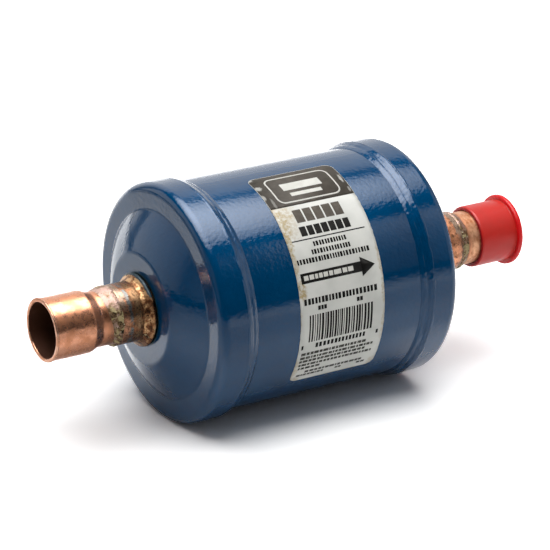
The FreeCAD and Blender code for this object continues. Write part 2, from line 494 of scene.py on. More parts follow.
@dataclass(frozen=True)
class DrawnCopper(Finish):
    """Drawn copper tube: pink metal, long soft reflections, oxide clouds and heat tints.

    Attributes:
        clean: Clean metal.
        cloud: Metal under a thin oxide.
        clouds: Noise of the oxide.
        cloudy: Its values where the metal is clean and where it is clouded.
        speck: Dark specks.
        specked: Values of their noise where they begin and are full.
        speck_share: How dark they get.
        tint_from: Heat up to which the metal keeps its colour.
        tints: Heat and colours of the tints, from cold to hot.
        tinted: Heat where the tints begin and are full.
        heat_end: Where the heat was greatest, outward from the flat rim.
        heat_reach: How far it went from there.
        heat_fray: Size and reach of its unevenness.
        oxide: Colour of the bore.
        oxide_edge: How far off the bore's wall the oxide begins and is full.
        oxide_change: What it adds to the share of metal and to the roughness.
        metal: Share of bare metal.
        taper: Where the socket's taper starts and ends.
        bore: A radius just over the bore's, before and after the taper.
        hazy: Values of the clouds where the polish is clean and clouded.
        polish: Roughness, clean and clouded.
        draw: Squeezes the noise, so that marks run along the tube.
        marks: Drawing marks, coarser than real ones so that they show, with their depth.
        dents: Small dents, with their depth.
    """

    name: str = "copper"
    clean: str = "#DE9E7E"
    cloud: str = "#CA8864"
    clouds: Span = grain(3.2, 4.0, 0.6)
    cloudy: Span = (0.36, 0.64)
    speck: str = "#96583C"
    specks: Span = grain(0.6, 3.0)
    specked: Span = (0.64, 0.70)
    speck_share: float = 0.6
    tint_from: float = 0.15
    tints: tuple[tuple[float, str], ...] = ((0.55, "#CE8C68"), (0.95, "#A87458"))
    tinted: Span = (0.05, 0.6)
    heat_end: float = 19.5
    heat_reach: float = 3.0
    heat_fray: Span = (2.4, 1.0)
    oxide: str = "#4C2814"
    oxide_edge: Span = (0.1, -0.1)
    oxide_change: Span = (-0.5, 0.35)
    metal: float = 0.88
    taper: Span = (22.3, 24.9)
    bore: Span = (7.48, 8.46)
    hazy: Span = (0.35, 0.65)
    polish: Span = (0.2, 0.36)
    draw: Span = (0.05, 1.0, 1.0)
    marks: Span = grain(0.3)
    mark_depth: float = 0.004
    dents: Span = grain(1.3, 3.0)
    dent_depth: float = 0.03

    def dress(self, tree: Tree, place: Place) -> Look:
        """Clean metal at the free end, tints towards the braze, brown oxide in the bore.

        Args:
            tree: The material's tree.
            place: Where each point is.

        Returns:
            What the shader gets.
        """
        clouds = add(tree, "TexNoise", place.spot, *self.clouds)
        specks = add(tree, "MapRange", add(tree, "TexNoise", place.spot, *self.specks),
                     *self.specked, **SOFT)
        wavering = place.shaken(tree, place.outward, *self.heat_fray)
        heat = add(tree, "MapRange", wavering,
                   *to_m(self.heat_end + self.heat_reach, self.heat_end))
        wall = add(tree, "MapRange", place.outward, *to_m(*self.taper, *self.bore))
        depth = add(tree, "Math", place.radius, wall, operation="SUBTRACT")
        inside = add(tree, "MapRange", depth, *to_m(*self.oxide_edge), **SOFT)
        haze = add(tree, "MapRange", clouds, *self.hazy, *self.polish, **SOFT)
        metal, rough = (add(tree, "Math", inside, change, bare, operation="MULTIPLY_ADD")
                        for change, bare in zip(self.oxide_change, (self.metal, haze)))
        drawn = add(tree, "Mapping", place.spot, Scale=self.draw)
        return Look(
            colour=add(tree, "ValToRGB", clouds, stops=zip(self.cloudy, (self.clean, self.cloud))),
            coats=((add(tree, "Math", specks, self.speck_share, operation="MULTIPLY"), self.speck),
                   (add(tree, "MapRange", heat, *self.tinted, **SOFT),
                    add(tree, "ValToRGB", heat, stops=((self.tint_from, self.clean),
                                                       *self.tints))),
                   (inside, self.oxide)),
            relief=((add(tree, "TexNoise", place.spot, *self.dents), self.dent_depth),
                    (add(tree, "TexNoise", drawn, *self.marks), self.mark_depth)),
            shader={"Metallic": metal, "Roughness": rough})


@dataclass(frozen=True)
class PlatedCollar(Finish):
    """Copper-plated steel after brazing: brown, steel-blue and salmon rings of heat tint.

    Attributes:
        rings: Colours by their place outward from the flat rim.
        ring_fray: Size and reach of their unevenness.
        worn: Bare copper plate.
        patches: Noise of the bare places, with the curl of their edges.
        wear: Its values where they begin and are full, and their shares there.
        tin_and_highlight: Braze metal that ran over the collar's end, fuller on top as a painted
            highlight.
        tin_reach: How far from the end it starts, and over what length.
        tin_fray: Size and reach of its edge's unevenness.
        tin_highlight_above: Degrees above the front between which it comes on, as a painted
            highlight.
        tin_highlight_share: Its share below and above them.
        tin_highlight_fray: Size and reach of that edge's unevenness.
        soot: Soot clouds.
        clouds: Their noise, with the depth it gives.
        sooty: Its values where they begin and are full, and their shares there.
        polish: Its values where the metal is smooth and rough, and the roughness there.
        metal: Share of bare metal.
    """

    name: str = "plated_collar"
    rings: tuple[tuple[float, str], ...] = (
        (9.4, "#7A5638"), (11.1, "#AA8460"), (12.7, "#866044"), (13.2, "#7E817F"),
        (13.8, "#857A72"), (14.6, "#C98863"), (16.3, "#C97E5C"))
    ring_fray: Span = (1.8, 1.1)
    worn: str = "#A8704E"
    patches: Span = grain(2.6, 3.0)
    curl: float = 0.6
    wear: Span = (0.50, 0.56, 0.0, 0.85)
    tin_and_highlight: str = "#A48A76"
    tin_reach: Span = (2.0, 0.3)
    tin_fray: Span = (1.2, 0.9)
    tin_highlight_above: Span = (22.0, 40.0)
    tin_highlight_share: Span = (0.3, 1.0)
    tin_highlight_fray: Span = (2.0, 4.0)
    soot: str = "#2C2014"
    clouds: Span = grain(1.4, 5.0, 0.65)
    cloud_depth: float = 0.05
    sooty: Span = (0.50, 0.66, 0.0, 0.75)
    polish: Span = (0.35, 0.7, 0.24, 0.42)
    metal: float = 0.9

    def dress(self, tree: Tree, place: Place) -> Look:
        """Each ring's colour by its distance from the cap, frayed, under soot clouds.

        Args:
            tree: The material's tree.
            place: Where each point is.

        Returns:
            What the shader gets.
        """
        start, end = self.rings[0][0], self.rings[-1][0]
        frayed = place.shaken(tree, place.outward, *self.ring_fray)
        share = add(tree, "MapRange", frayed, *to_m(start, end))
        patches = add(tree, "TexNoise", place.spot, *self.patches, Distortion=self.curl)
        # Braze film over the collar's end: real metal, laid fuller above the front as a painted
        # highlight.
        above = add(tree, "MapRange", place.shaken(tree, place.arc, *self.tin_highlight_fray),
                    *AXIS.arcs(self.tin_highlight_above), *self.tin_highlight_share, **SOFT)
        begin = end - self.tin_reach[0]
        tin = add(tree, "MapRange", place.shaken(tree, place.outward, *self.tin_fray),
                  *to_m(begin, begin + self.tin_reach[1]), **SOFT)
        clouds = add(tree, "TexNoise", place.spot, *self.clouds)
        return Look(
            colour=add(tree, "ValToRGB", share, stops=[
                ((ring - start) / (end - start), colour) for ring, colour in self.rings]),
            coats=((add(tree, "MapRange", patches, *self.wear, **SOFT), self.worn),
                   (add(tree, "Math", tin, above, operation="MULTIPLY"), self.tin_and_highlight),
                   (add(tree, "MapRange", clouds, *self.sooty, **SOFT), self.soot)),
            relief=((clouds, self.cloud_depth),),
            shader={"Metallic": self.metal,
                    "Roughness": add(tree, "MapRange", clouds, *self.polish, **SOFT)})


@dataclass(frozen=True)
class BrazeAlloy(Finish):
    """Cast braze metal: brassy skin, black pits, soot, pale dried flux, burnt paint at its foot.

    Attributes:
        bright: Clean metal.
        brown: Metal under oxide.
        soot: Soot and pits.
        clouded: Values of the clouds where each of the three is clean.
        flux: Dried flux.
        flux_from: Value of its noise where it begins.
        flux_run: How much less of it there is above.
        flux_edge: How far before and after that value its edge reaches.
        clouds: Noise of the oxide.
        cloud_depth: Height of its lumps.
        highlight_above: Degrees above the front between which the metal turns lighter: painted
            highlight.
        highlight_fray: Size and reach of that edge's unevenness.
        highlight_shift: How much the clouds and the pits give way above, for the painted highlight.
        pits: Noise of the pits, with their depth.
        pitted: Its values where they begin and are full.
        patch: Noise of the flux, with the curl of its edges.
        paint: Burnt paint at the foot.
        paint_from: Radius where it begins below.
        paint_high: How much nearer it comes above.
        paint_edge: How far before and after it begins and is full.
        paint_fray: Size and reach of its edge's unevenness.
        bare: Share of metal, bare and covered.
        polish: Roughness of the metal.
        chalk: Roughness of the flux.
    """

    name: str = "bronze_fillet"
    bright: str = "#D2A678"
    brown: str = "#7A4E32"
    soot: str = "#241910"
    flux: str = "#B4A47C"
    flux_from: float = 0.66
    flux_run: float = 0.08
    flux_edge: Span = (-0.02, 0.03)
    clouds: Span = grain(1.8, 5.0, 0.62)
    clouded: Span = (0.34, 0.50, 0.64)
    cloud_depth: float = 0.2
    highlight_above: Span = (28.0, 50.0)
    highlight_fray: Span = (2.0, 6.0)
    highlight_shift: Span = (-0.13, 0.1)
    pits: Span = grain(0.38, 3.0)
    pitted: Span = (0.43, 0.37)
    pit_depth: float = 0.12
    patch: Span = grain(1.9, 4.0)
    curl: float = 0.5
    paint: str = "#16303A"
    paint_from: float = 10.85
    paint_high: float = 0.75
    paint_edge: Span = (-0.1, 0.1)
    paint_fray: Span = (1.6, 0.25)
    bare: Span = (0.92, 0.15)
    polish: float = 0.34
    chalk: float = 0.6

    def dress(self, tree: Tree, place: Place) -> Look:
        """Bright above, browner, pitted and fluxed below, and painted past paint_from.

        Args:
            tree: The material's tree.
            place: Where each point is.

        Returns:
            What the shader gets.
        """
        # Above the front the metal is painted lighter, with fewer pits: a painted highlight on top,
        # browner below.
        clean = add(tree, "MapRange", place.shaken(tree, place.arc, *self.highlight_fray),
                    *AXIS.arcs(self.highlight_above), **SOFT)
        clouds = add(tree, "TexNoise", place.spot, *self.clouds)
        pits = add(tree, "TexNoise", place.spot, *self.pits)
        patch = add(tree, "TexNoise", place.spot, *self.patch, Distortion=self.curl)
        frayed = place.shaken(tree, place.radius, *self.paint_fray)
        clouded, pitted, run, edge = (
            add(tree, "Math", clean, change, below, operation="MULTIPLY_ADD")
            for change, below in ((self.highlight_shift[0], clouds), (self.highlight_shift[1], pits),
                                  (-self.flux_run, patch), (self.paint_high * MM, frayed)))
        fluxed = add(tree, "MapRange", run, *(self.flux_from + e for e in self.flux_edge), **SOFT)
        painted = add(tree, "MapRange", edge,
                      *to_m(*(self.paint_from + e for e in self.paint_edge)), **SOFT)
        covered = add(tree, "Math", fluxed, painted, operation="MAXIMUM")
        return Look(
            colour=add(tree, "ValToRGB", clouded,
                       stops=zip(self.clouded, (self.bright, self.brown, self.soot))),
            coats=((add(tree, "MapRange", pitted, *self.pitted, **SOFT), self.soot),
                   (fluxed, self.flux), (painted, self.paint)),
            relief=((clouds, self.cloud_depth), (pits, self.pit_depth)),
            shader={"Metallic": add(tree, "MapRange", covered, 0.0, 1.0, *self.bare),
                    "Roughness": add(tree, "MapRange", fluxed, 0.0, 1.0, self.polish,
                                     self.chalk)})


@dataclass(frozen=True)
class RedPolyethylene(Finish):
    """Injection-moulded soft polyethylene: waxy, a little see-through, with a broad gloss.

    Attributes:
        colour: The plastic.
        faded: Flow marks in it.
        flow: Noise of the flow marks.
        marked: Its values where the plastic is plain and marked.
        deep: The thick flange.
        flange: Radii where its colour begins and is full.
        mouth: Painted shade on the inside of the mouth.
        mouth_shade_radii: Radii where the painted shade begins and is full.
        gloss: Roughness.
        shine: Strength of the gloss.
        milk: Share of the light that goes into the plastic.
        depth: How far it spreads there by colour, in metres.
        reach: Scale of that.
        skin: Moulded skin, coarser than real so that it shows, with its depth.
        waves: Sink marks, with their depth.
    """

    name: str = "red_polyethylene"
    colour: str = "#D02218"
    faded: str = "#C6281E"
    flow: Span = grain(6.0, 3.0)
    marked: Span = (0.3, 0.7)
    deep: str = "#E20812"
    flange: Span = (9.3, 9.8)
    mouth: str = "#98000E"
    mouth_shade_radii: Span = (8.95, 8.75)
    gloss: float = 0.38
    shine: float = 0.4
    milk: float = 0.2
    depth: Span = (0.004, 0.001, 0.001)
    reach: float = 0.5
    skin: Span = grain(0.8)
    skin_depth: float = 0.006
    waves: Span = grain(5.0, 1.0)
    wave_depth: float = 0.12

    def dress(self, tree: Tree, place: Place) -> Look:
        """Slight flow marks, a deeper red in the thick flange, and a fine moulded skin.

        Args:
            tree: The material's tree.
            place: Where each point is.

        Returns:
            What the shader gets.
        """
        flow = add(tree, "TexNoise", place.spot, *self.flow)
        return Look(
            colour=add(tree, "ValToRGB", flow, stops=zip(self.marked, (self.colour, self.faded))),
            # A deeper red in the flange, and painted shade on the inside of the mouth.
            coats=[(add(tree, "MapRange", place.radius, *to_m(*radii), **SOFT), colour)
                   for radii, colour in ((self.flange, self.deep), (self.mouth_shade_radii, self.mouth))],
            relief=((add(tree, "TexNoise", place.spot, *self.waves), self.wave_depth),
                    (add(tree, "TexNoise", place.spot, *self.skin), self.skin_depth)),
            shader={"Roughness": self.gloss, "Specular IOR Level": self.shine,
                    "Subsurface Weight": self.milk, "Subsurface Radius": self.depth,
                    "Subsurface Scale": self.reach})


@dataclass(frozen=True)
class LabelPaper(Finish):
    """Coated paper, handled and oiled: off-white with yellow-brown edges and grey scuffs.

    Attributes:
        colour: Clean paper.
        grey: Handled paper.
        handling: Noise of the handled places.
        handled: Its values where the paper is clean and handled.
        stain: Oil soaked in from the edges.
        grime: Dirt at the sheet's rim.
        blots: Where the oil is.
        spots: Where the dirt is.
        fray: Noise that eats into their edges.
        soak: Noise of how deep they soaked in.
        soaked: Its values where least and most soaked in, and the shares there.
        fibres: Fibres of the paper, coarser than real ones so that they show, with their depth.
        gloss: Roughness.
        shine: Strength of the gloss.
    """

    name: str = "label_paper"
    colour: str = "#DCDCD6"
    grey: str = "#C9CAC4"
    handling: Span = grain(9.0, 3.0)
    handled: Span = (0.4, 0.7)
    stain: str = "#A8915E"
    grime: str = "#4A3A28"
    blots: tuple[Mark, ...] = (
        Mark(-12.2, 49.0, 2.6, 5.6, 0.8), Mark(-13.0, 40.0, 1.7, 4.4, 0.9),
        Mark(-10.6, 55.5, 4.4, 3.6, 0.6), Mark(-9.8, 48.0, 3.2, 5.0, 0.4),
        Mark(-13.0, 29.0, 1.3, 4.6, 0.7), Mark(-12.2, 15.5, 1.6, 3.4, 1.0),
        Mark(-13.6, 3.0, 0.8, 5.0, 0.35), Mark(-13.2, -27.0, 1.4, 4.4, 0.55),
        Mark(-12.4, -35.0, 2.2, 1.4, 0.5), Mark(14.3, 24.0, 0.7, 5.0, 0.55),
        Mark(14.4, 8.0, 0.8, 5.0, 0.6), Mark(14.3, -10.0, 0.7, 6.0, 0.45),
        Mark(13.6, -33.5, 1.6, 2.0, 0.4), Mark(4.0, -36.3, 7.0, 0.5, 0.35))
    spots: tuple[Mark, ...] = (
        Mark(-13.8, 17.3, 0.7, 0.8, 1.0), Mark(-13.9, 50.0, 0.5, 1.6, 0.6),
        Mark(-13.9, 43.0, 0.4, 1.8, 0.7), Mark(-13.8, -33.0, 0.6, 1.2, 0.5))
    fray: Span = grain(1.6, 5.0, 0.7)
    soak: Span = grain(0.9, 5.0, 0.7)
    soaked: Span = (0.36, 0.62, 0.2, 1.0)
    fibres: Span = grain(0.4, 3.0)
    fibre_depth: float = 0.006
    gloss: float = 0.42
    shine: float = 0.4

    def dress(self, tree: Tree, place: Place) -> Look:
        """Stains soak in from the edges, darkest where dirt gathered at the sheet's rim.

        Args:
            tree: The material's tree.
            place: Where each point is.

        Returns:
            What the shader gets.
        """
        handling = add(tree, "TexNoise", place.spot, *self.handling)
        fray = add(tree, "TexNoise", place.spot, *self.fray)
        soaked = add(tree, "MapRange", add(tree, "TexNoise", place.spot, *self.soak),
                     *self.soaked, **SOFT)
        coats = []
        for marks, dye in ((self.blots, self.stain), (self.spots, self.grime)):
            for mark in marks:
                mottled = add(tree, "Math", place.blot(tree, mark, fray), soaked,
                              operation="MULTIPLY")
                coats.append((add(tree, "Math", mottled, mark.strength, operation="MULTIPLY"),
                              dye))
        return Look(
            colour=add(tree, "ValToRGB", handling, stops=zip(self.handled,
                                                             (self.colour, self.grey))),
            coats=coats,
            relief=((add(tree, "TexNoise", place.spot, *self.fibres), self.fibre_depth),),
            shader={"Roughness": self.gloss, "Specular IOR Level": self.shine})


@dataclass(frozen=True)
class PrintInk(Finish):
    """Flat printing ink on the paper, rubbed through to it in places.

    Attributes:
        colour: Full ink.
        faded: Thin ink.
        weight: Noise of the ink's thickness, with its depth.
        inked: Its values where the ink is full and thin.
        paper: The paper that shows where it is rubbed off.
        scuffs: Larger rubbed places.
        scuff_fray: Noise that eats into their edges.
        rub: Noise of the small rubbed places.
        rub_from: Its value where they begin.
        rub_edge: How much further on they are full.
        rub_share: How bare they get.
        gloss: Roughness.
        shine: Strength of the gloss.
    """

    colour: str = "#100F0D"
    faded: str = "#1C1A17"
    weight: Span = grain(2.2, 4.0)
    weight_depth: float = 0.004
    inked: Span = (0.4, 0.7)
    paper: str = "#D6D4CC"
    scuffs: tuple[Mark, ...] = ()
    scuff_fray: Span = grain(0.9, 5.0, 0.75)
    rub: Span = grain(0.5, 4.0, 0.7)
    rub_from: float = 0.70
    rub_edge: float = 0.06
    rub_share: float = 0.8
    gloss: float = 0.5
    shine: float = 0.14

    def dress(self, tree: Tree, place: Place) -> Look:
        """Ink of uneven weight, with rubbed spots and the listed scuffs.

        Args:
            tree: The material's tree.
            place: Where each point is.

        Returns:
            What the shader gets.
        """
        weight = add(tree, "TexNoise", place.spot, *self.weight)
        rub = add(tree, "TexNoise", place.spot, *self.rub)
        fray = add(tree, "TexNoise", place.spot, *self.scuff_fray)
        worn = add(tree, "MapRange", rub, self.rub_from, self.rub_from + self.rub_edge,
                   0.0, self.rub_share, **SOFT)
        scuffed = [add(tree, "Math", place.blot(tree, mark, fray), mark.strength,
                       operation="MULTIPLY") for mark in self.scuffs]
        return Look(
            colour=add(tree, "ValToRGB", weight, stops=zip(self.inked, (self.colour, self.faded))),
            coats=[(share, self.paper) for share in (worn, *scuffed)],
            relief=((weight, self.weight_depth),),
            shader={"Roughness": self.gloss, "Specular IOR Level": self.shine})


@dataclass(frozen=True)
class PlainMetal(Finish):
    """Sheet or wire inside the shell: soft grey metal with rolling marks.

    Attributes:
        light: Bright plating.
        dark: Cloudy plating.
        clouds: Noise of the clouds.
        clouded: Its values where the plating is bright and cloudy.
        marks: Rolling marks or weave, coarser than real so that they show, with their depth.
        gloss: Roughness.
    """

    light: str = "#B9BAB8"
    dark: str = "#8E8F8E"
    clouds: Span = grain(7.0, 4.0)
    clouded: Span = (0.3, 0.7)
    marks: Span = grain(1.2, 3.0)
    mark_depth: float = 0.01
    gloss: float = 0.34

    def dress(self, tree: Tree, place: Place) -> Look:
        """Cloudy plating over a fine grain.

        Args:
            tree: The material's tree.
            place: Where each point is.

        Returns:
            What the shader gets.
        """
        clouds = add(tree, "TexNoise", place.spot, *self.clouds)
        return Look(
            colour=add(tree, "ValToRGB", clouds, stops=zip(self.clouded, (self.light, self.dark))),
            relief=((add(tree, "TexNoise", place.spot, *self.marks), self.mark_depth),),
            shader={"Metallic": 1.0, "Roughness": self.gloss})


@dataclass(frozen=True)
class GranularFill(Finish):
    """Beads or fibres pressed into a bed: matt and speckled at bead or fibre size.

    Attributes:
        light: Middle of a grain.
        dark: Painted shade in the hollow between grains.
        bead: Size of a grain.
        depth: How far it stands out.
        shaded: Distances from a grain's middle, over its size, of the two colours.
        matt: Roughness.
    """

    light: str = "#CFC3A8"
    dark: str = "#8F8063"
    bead: float = 1.8
    depth: float = 0.25
    shaded: Span = (0.1, 0.7)
    matt: float = 0.85

    def dress(self, tree: Tree, place: Place) -> Look:
        """Rounded cells of the grain's size give both the colour and the relief.

        Args:
            tree: The material's tree.
            place: Where each point is.

        Returns:
            What the shader gets.
        """
        # Colour darkens from a grain's middle to its edge: painted shade in the hollows between
        # grains.
        away = add(tree, "TexVoronoi", place.spot, per_mm(self.bead))
        return Look(
            colour=add(tree, "ValToRGB", away, stops=zip(self.shaded, (self.light, self.dark))),
            relief=((add(tree, "Math", 1.0, away, operation="SUBTRACT"), self.depth),),
            shader={"Roughness": self.matt})


# Meshes and geometry trees


def softened(outline: Outline, rounds: int = 2) -> Outline:
    """Cuts each corner of a closed outline at its quarter points.

    Args:
        outline: The outline.
        rounds: How often it is done.

    Returns:
        The rounder outline.
    """
    for _ in range(rounds):
        cut = []
        for (x0, y0), (x1, y1) in zip(outline, outline[1:] + outline[:1]):
            cut.append((0.75 * x0 + 0.25 * x1, 0.75 * y0 + 0.25 * y1))
            cut.append((0.25 * x0 + 0.75 * x1, 0.25 * y0 + 0.75 * y1))
        outline = tuple(cut)
    return outline


def rounded_box(left: float, right: float, low: float, high: float, corner: float,
                square_foot: bool = False, steps: int = 7) -> Outline:
    """Outline of a box with rounded corners, counter-clockwise.

    Args:
        left: Its left edge.
        right: Its right edge.
        low: Its lower edge.
        high: Its upper edge.
        corner: Corner radius.
        square_foot: Leaves the two lower corners sharp.
        steps: Points in each corner.

    Returns:
        The outline's points.
    """
    centres = [(left + corner, low + corner, 180), (right - corner, low + corner, 270),
               (right - corner, high - corner, 0), (left + corner, high - corner, 90)]
    points = []
    if square_foot:
        points = [(left, low), (right, low)]
        centres = centres[2:]
    for x, y, start in centres:
        for k in range(steps):
            angle = math.radians(start + 90 * k / (steps - 1))
            points.append((x + corner * math.cos(angle), y + corner * math.sin(angle)))
    return tuple(points)


def bridge(bm: bmesh.types.BMesh, loops: list[list[bmesh.types.BMVert]]) -> None:
    """Joins closed loops of equally many points by faces, the last one to the first.

    Args:
        bm: The mesh under work.
        loops: The loops, in order.
    """
    for here, there in zip(loops, loops[1:] + loops[:1]):
        for i in range(len(here)):
            j = (i + 1) % len(here)
            bm.faces.new((here[i], here[j], there[j], there[i]))


def finished(bm: bmesh.types.BMesh, name: str) -> Mesh:
    """Turns a bmesh into a smooth-shaded mesh whose faces point outwards.

    Args:
        bm: The mesh under work.
        name: The new mesh's name.

    Returns:
        The mesh.
    """
    bmesh.ops.recalc_face_normals(bm, faces=bm.faces)
    for face in bm.faces:
        face.smooth = True
    mesh = bpy.data.meshes.new(name)
    bm.to_mesh(mesh)
    bm.free()
    return mesh


def turned(outline: Outline, side: Side, steps: int, lean: float = 0.0) -> Mesh:
    """Turns a closed outline about the flow axis.

    Args:
        outline: Places outward from the flat rim, and radii.
        side: The end that outward refers to.
        steps: Facets round the ring.
        lean: How much further the ring's outer end runs along the tube below than at mid height.

    Returns:
        The ring's mesh.
    """
    bm = bmesh.new()
    sections = []
    start = min(h for h, _ in outline)
    span = max(h for h, _ in outline) - start
    for k in range(steps):
        angle = 2 * math.pi * k / steps
        stretch = 1 - lean * math.sin(angle) / span
        sections.append([bm.verts.new(to_m(
            AXIS.centre + side.value * (AXIS.half + start + (h - start) * stretch),
            -r * math.cos(angle), r * math.sin(angle))) for h, r in outline])
    bridge(bm, sections)
    return finished(bm, "ring")


def new_tree(name: str, inputs: dict[str, str]) -> tuple[Tree, dict[str, Socket]]:
    """Starts a geometry tree.

    Args:
        name: The tree's name.
        inputs: Kind of each named input, such as Float, Int or Material.

    Returns:
        The tree and its input sockets by name.
    """
    tree = bpy.data.node_groups.new(name, "GeometryNodeTree")
    for label, kind in {"Geometry": "Geometry", **inputs}.items():
        tree.interface.new_socket(label, in_out="INPUT", socket_type="NodeSocket" + kind)
    tree.interface.new_socket("Geometry", in_out="OUTPUT", socket_type="NodeSocketGeometry")
    entry = add(tree, "NodeGroupInput").node
    return tree, {socket.name: socket for socket in entry.outputs if socket.name}


def close_tree(tree: Tree, geometry: Socket, material: Socket) -> Tree:
    """Ends a geometry tree: instances made real, and the material set.

    Args:
        tree: The tree.
        geometry: What it made.
        material: The material.

    Returns:
        The tree.
    """
    real = add(tree, "GeometryNodeRealizeInstances", geometry)
    dressed = add(tree, "GeometryNodeSetMaterial", real, Material=material)
    add(tree, "NodeGroupOutput", dressed)
    return tree


def grown(tree: Tree, base: Mesh | None, inputs: dict[str, object]) -> Mesh:
    """Runs a geometry tree and keeps the result as a plain mesh.

    Args:
        tree: The geometry tree.
        base: The mesh it starts from, if it needs one.
        inputs: Its inputs by name, lengths in metres.

    Returns:
        The evaluated mesh.
    """
    holder = bpy.data.objects.new(tree.name, base or bpy.data.meshes.new(tree.name))
    bpy.context.scene.collection.objects.link(holder)
    modifier = holder.modifiers.new(tree.name, "NODES")
    modifier.node_group = tree
    keys = {item.name: item.identifier for item in tree.interface.items_tree
            if item.in_out == "INPUT"}
    for label, value in inputs.items():
        modifier[keys[label]] = value
    view = bpy.context.evaluated_depsgraph_get()
    mesh = bpy.data.meshes.new_from_object(holder.evaluated_get(view), depsgraph=view)
    bpy.data.objects.remove(holder)
    return mesh


def joined(meshes: list[Mesh]) -> Mesh:
    """Makes one mesh of several.

    Args:
        meshes: The meshes.

    Returns:
        The whole, with the first one's materials.
    """
    bm = bmesh.new()
    for mesh in meshes:
        bm.from_mesh(mesh)
    whole = bpy.data.meshes.new("joined")
    bm.to_mesh(whole)
    bm.free()
    for material in meshes[0].materials:
        whole.materials.append(material)
    return whole


def placed(name: str, mesh: Mesh, stands_for: str = "") -> None:
    """Puts a finished mesh in the scene as a piece of the drier.

    Args:
        name: The piece's name.
        mesh: Its mesh, already in place and with its material.
        stands_for: The CAD node it replaces, if any.
    """
    piece = bpy.data.objects.new(name, mesh)
    bpy.context.scene.collection.objects.link(piece)
    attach(piece, "drier")
    if stands_for:
        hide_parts(stands_for)
    LOG.info("%s: %d faces", name, len(mesh.polygons))


def cast_skin_tree(detail: float = 2.5, wander: float = 1.6, slant: float = 3.0) -> Tree:
    """Geometry tree that makes a turned ring look cast or welded: long lumps, and ripples.

    Args:
        detail: Detail of the lumps' noise.
        wander: How many ripples the lumps push them aside.
        slant: Millimetres along the ring's width in which a ripple falls one behind.

    Returns:
        The tree.
    """
    tree, given = new_tree("cast_skin", {
        "Lump Size": "Float", "Lump Height": "Float", "Stretch": "Float", "Ripples": "Int",
        "Ripple Depth": "Float", "Seed": "Float", "Material": "Material"})
    spot = add(tree, "GeometryNodeInputPosition")
    x, y, z = add(tree, "SeparateXYZ", spot).node.outputs
    scale = add(tree, "Math", 1.0, given["Lump Size"], operation="DIVIDE")
    across = add(tree, "Math", 1.0, given["Stretch"], operation="DIVIDE")
    ratio = add(tree, "CombineXYZ", 1.0, across, across)
    drawn = add(tree, "VectorMath", spot, ratio, operation="MULTIPLY")
    lumps = add(tree, "TexNoise", drawn, W=given["Seed"], Scale=scale, Detail=detail,
                noise_dimensions="4D")
    level = add(tree, "Math", lumps, 0.5, operation="SUBTRACT")
    lump = add(tree, "Math", level, given["Lump Height"], operation="MULTIPLY")
    angle = add(tree, "Math", z, y, operation="ARCTAN2")
    turn = add(tree, "Math", angle, 2 * math.pi, operation="DIVIDE")
    pushed = add(tree, "Math", lumps, wander, operation="MULTIPLY")
    lean = add(tree, "Math", x, per_mm(slant), pushed, operation="MULTIPLY_ADD")
    count = add(tree, "Math", turn, given["Ripples"], lean, operation="MULTIPLY_ADD")
    phase = add(tree, "Math", count, 2 * math.pi, operation="MULTIPLY")
    wave = add(tree, "Math", phase, operation="SINE")
    ripple = add(tree, "Math", wave, given["Ripple Depth"], operation="MULTIPLY")
    rise = add(tree, "Math", lump, ripple, operation="ADD")
    normal = add(tree, "GeometryNodeInputNormal")
    offset = add(tree, "VectorMath", normal, rise, operation="SCALE")
    moved = add(tree, "GeometryNodeSetPosition", given["Geometry"], Offset=offset)
    return close_tree(tree, moved, given["Material"])


def crumb_tree(shape: tuple[float, float, float] = (1.3, 0.9, 0.6)) -> Tree:
    """Geometry tree that strews small crumbs over a surface, a few dozen faces each.

    Args:
        shape: Length, width and height of a crumb over its size.

    Returns:
        The tree.
    """
    tree, given = new_tree("flux_crumbs", {
        "Density": "Float", "Smallest": "Float", "Largest": "Float", "Seed": "Int",
        "Material": "Material"})
    points = add(tree, "GeometryNodeDistributePointsOnFaces", given["Geometry"],
                 Density=given["Density"], Seed=given["Seed"])
    crumb = add(tree, "GeometryNodeMeshIcoSphere", Radius=0.5, Subdivisions=1)
    size = add(tree, "FunctionNodeRandomValue", given["Smallest"], given["Largest"],
               Seed=given["Seed"])
    squash = add(tree, "VectorMath", shape, size, operation="SCALE")
    strewn = add(tree, "GeometryNodeInstanceOnPoints", points, Instance=crumb,
                 Rotation=points.node.outputs["Rotation"], Scale=squash)
    return close_tree(tree, strewn, given["Material"])


def wrapped(tree: Tree, geometry: Socket, radius: Socket) -> Socket:
    """Wraps flat geometry round the flow axis.

    Args:
        tree: The geometry tree.
        geometry: Flat geometry: X along, Y round from the front, Z outward.
        radius: Radius at which nothing is stretched.

    Returns:
        The wrapped geometry.
    """
    x, y, z = add(tree, "SeparateXYZ", add(tree, "GeometryNodeInputPosition")).node.outputs
    angle = add(tree, "Math", y, radius, operation="DIVIDE")
    reach = add(tree, "Math", z, radius, operation="ADD")
    out, up = (add(tree, "Math", add(tree, "Math", angle, operation=way), reach,
                   operation="MULTIPLY") for way in ("COSINE", "SINE"))
    front = add(tree, "Math", out, -1.0, operation="MULTIPLY")
    spot = add(tree, "CombineXYZ", x, front, up)
    return add(tree, "GeometryNodeSetPosition", geometry, Position=spot)


def wrap_tree() -> Tree:
    """Geometry tree that wraps a flat mesh round the shell.

    Returns:
        The tree.
    """
    tree, given = new_tree("wrap_on_shell", {"Radius": "Float", "Material": "Material"})
    return close_tree(tree, wrapped(tree, given["Geometry"], given["Radius"]), given["Material"])


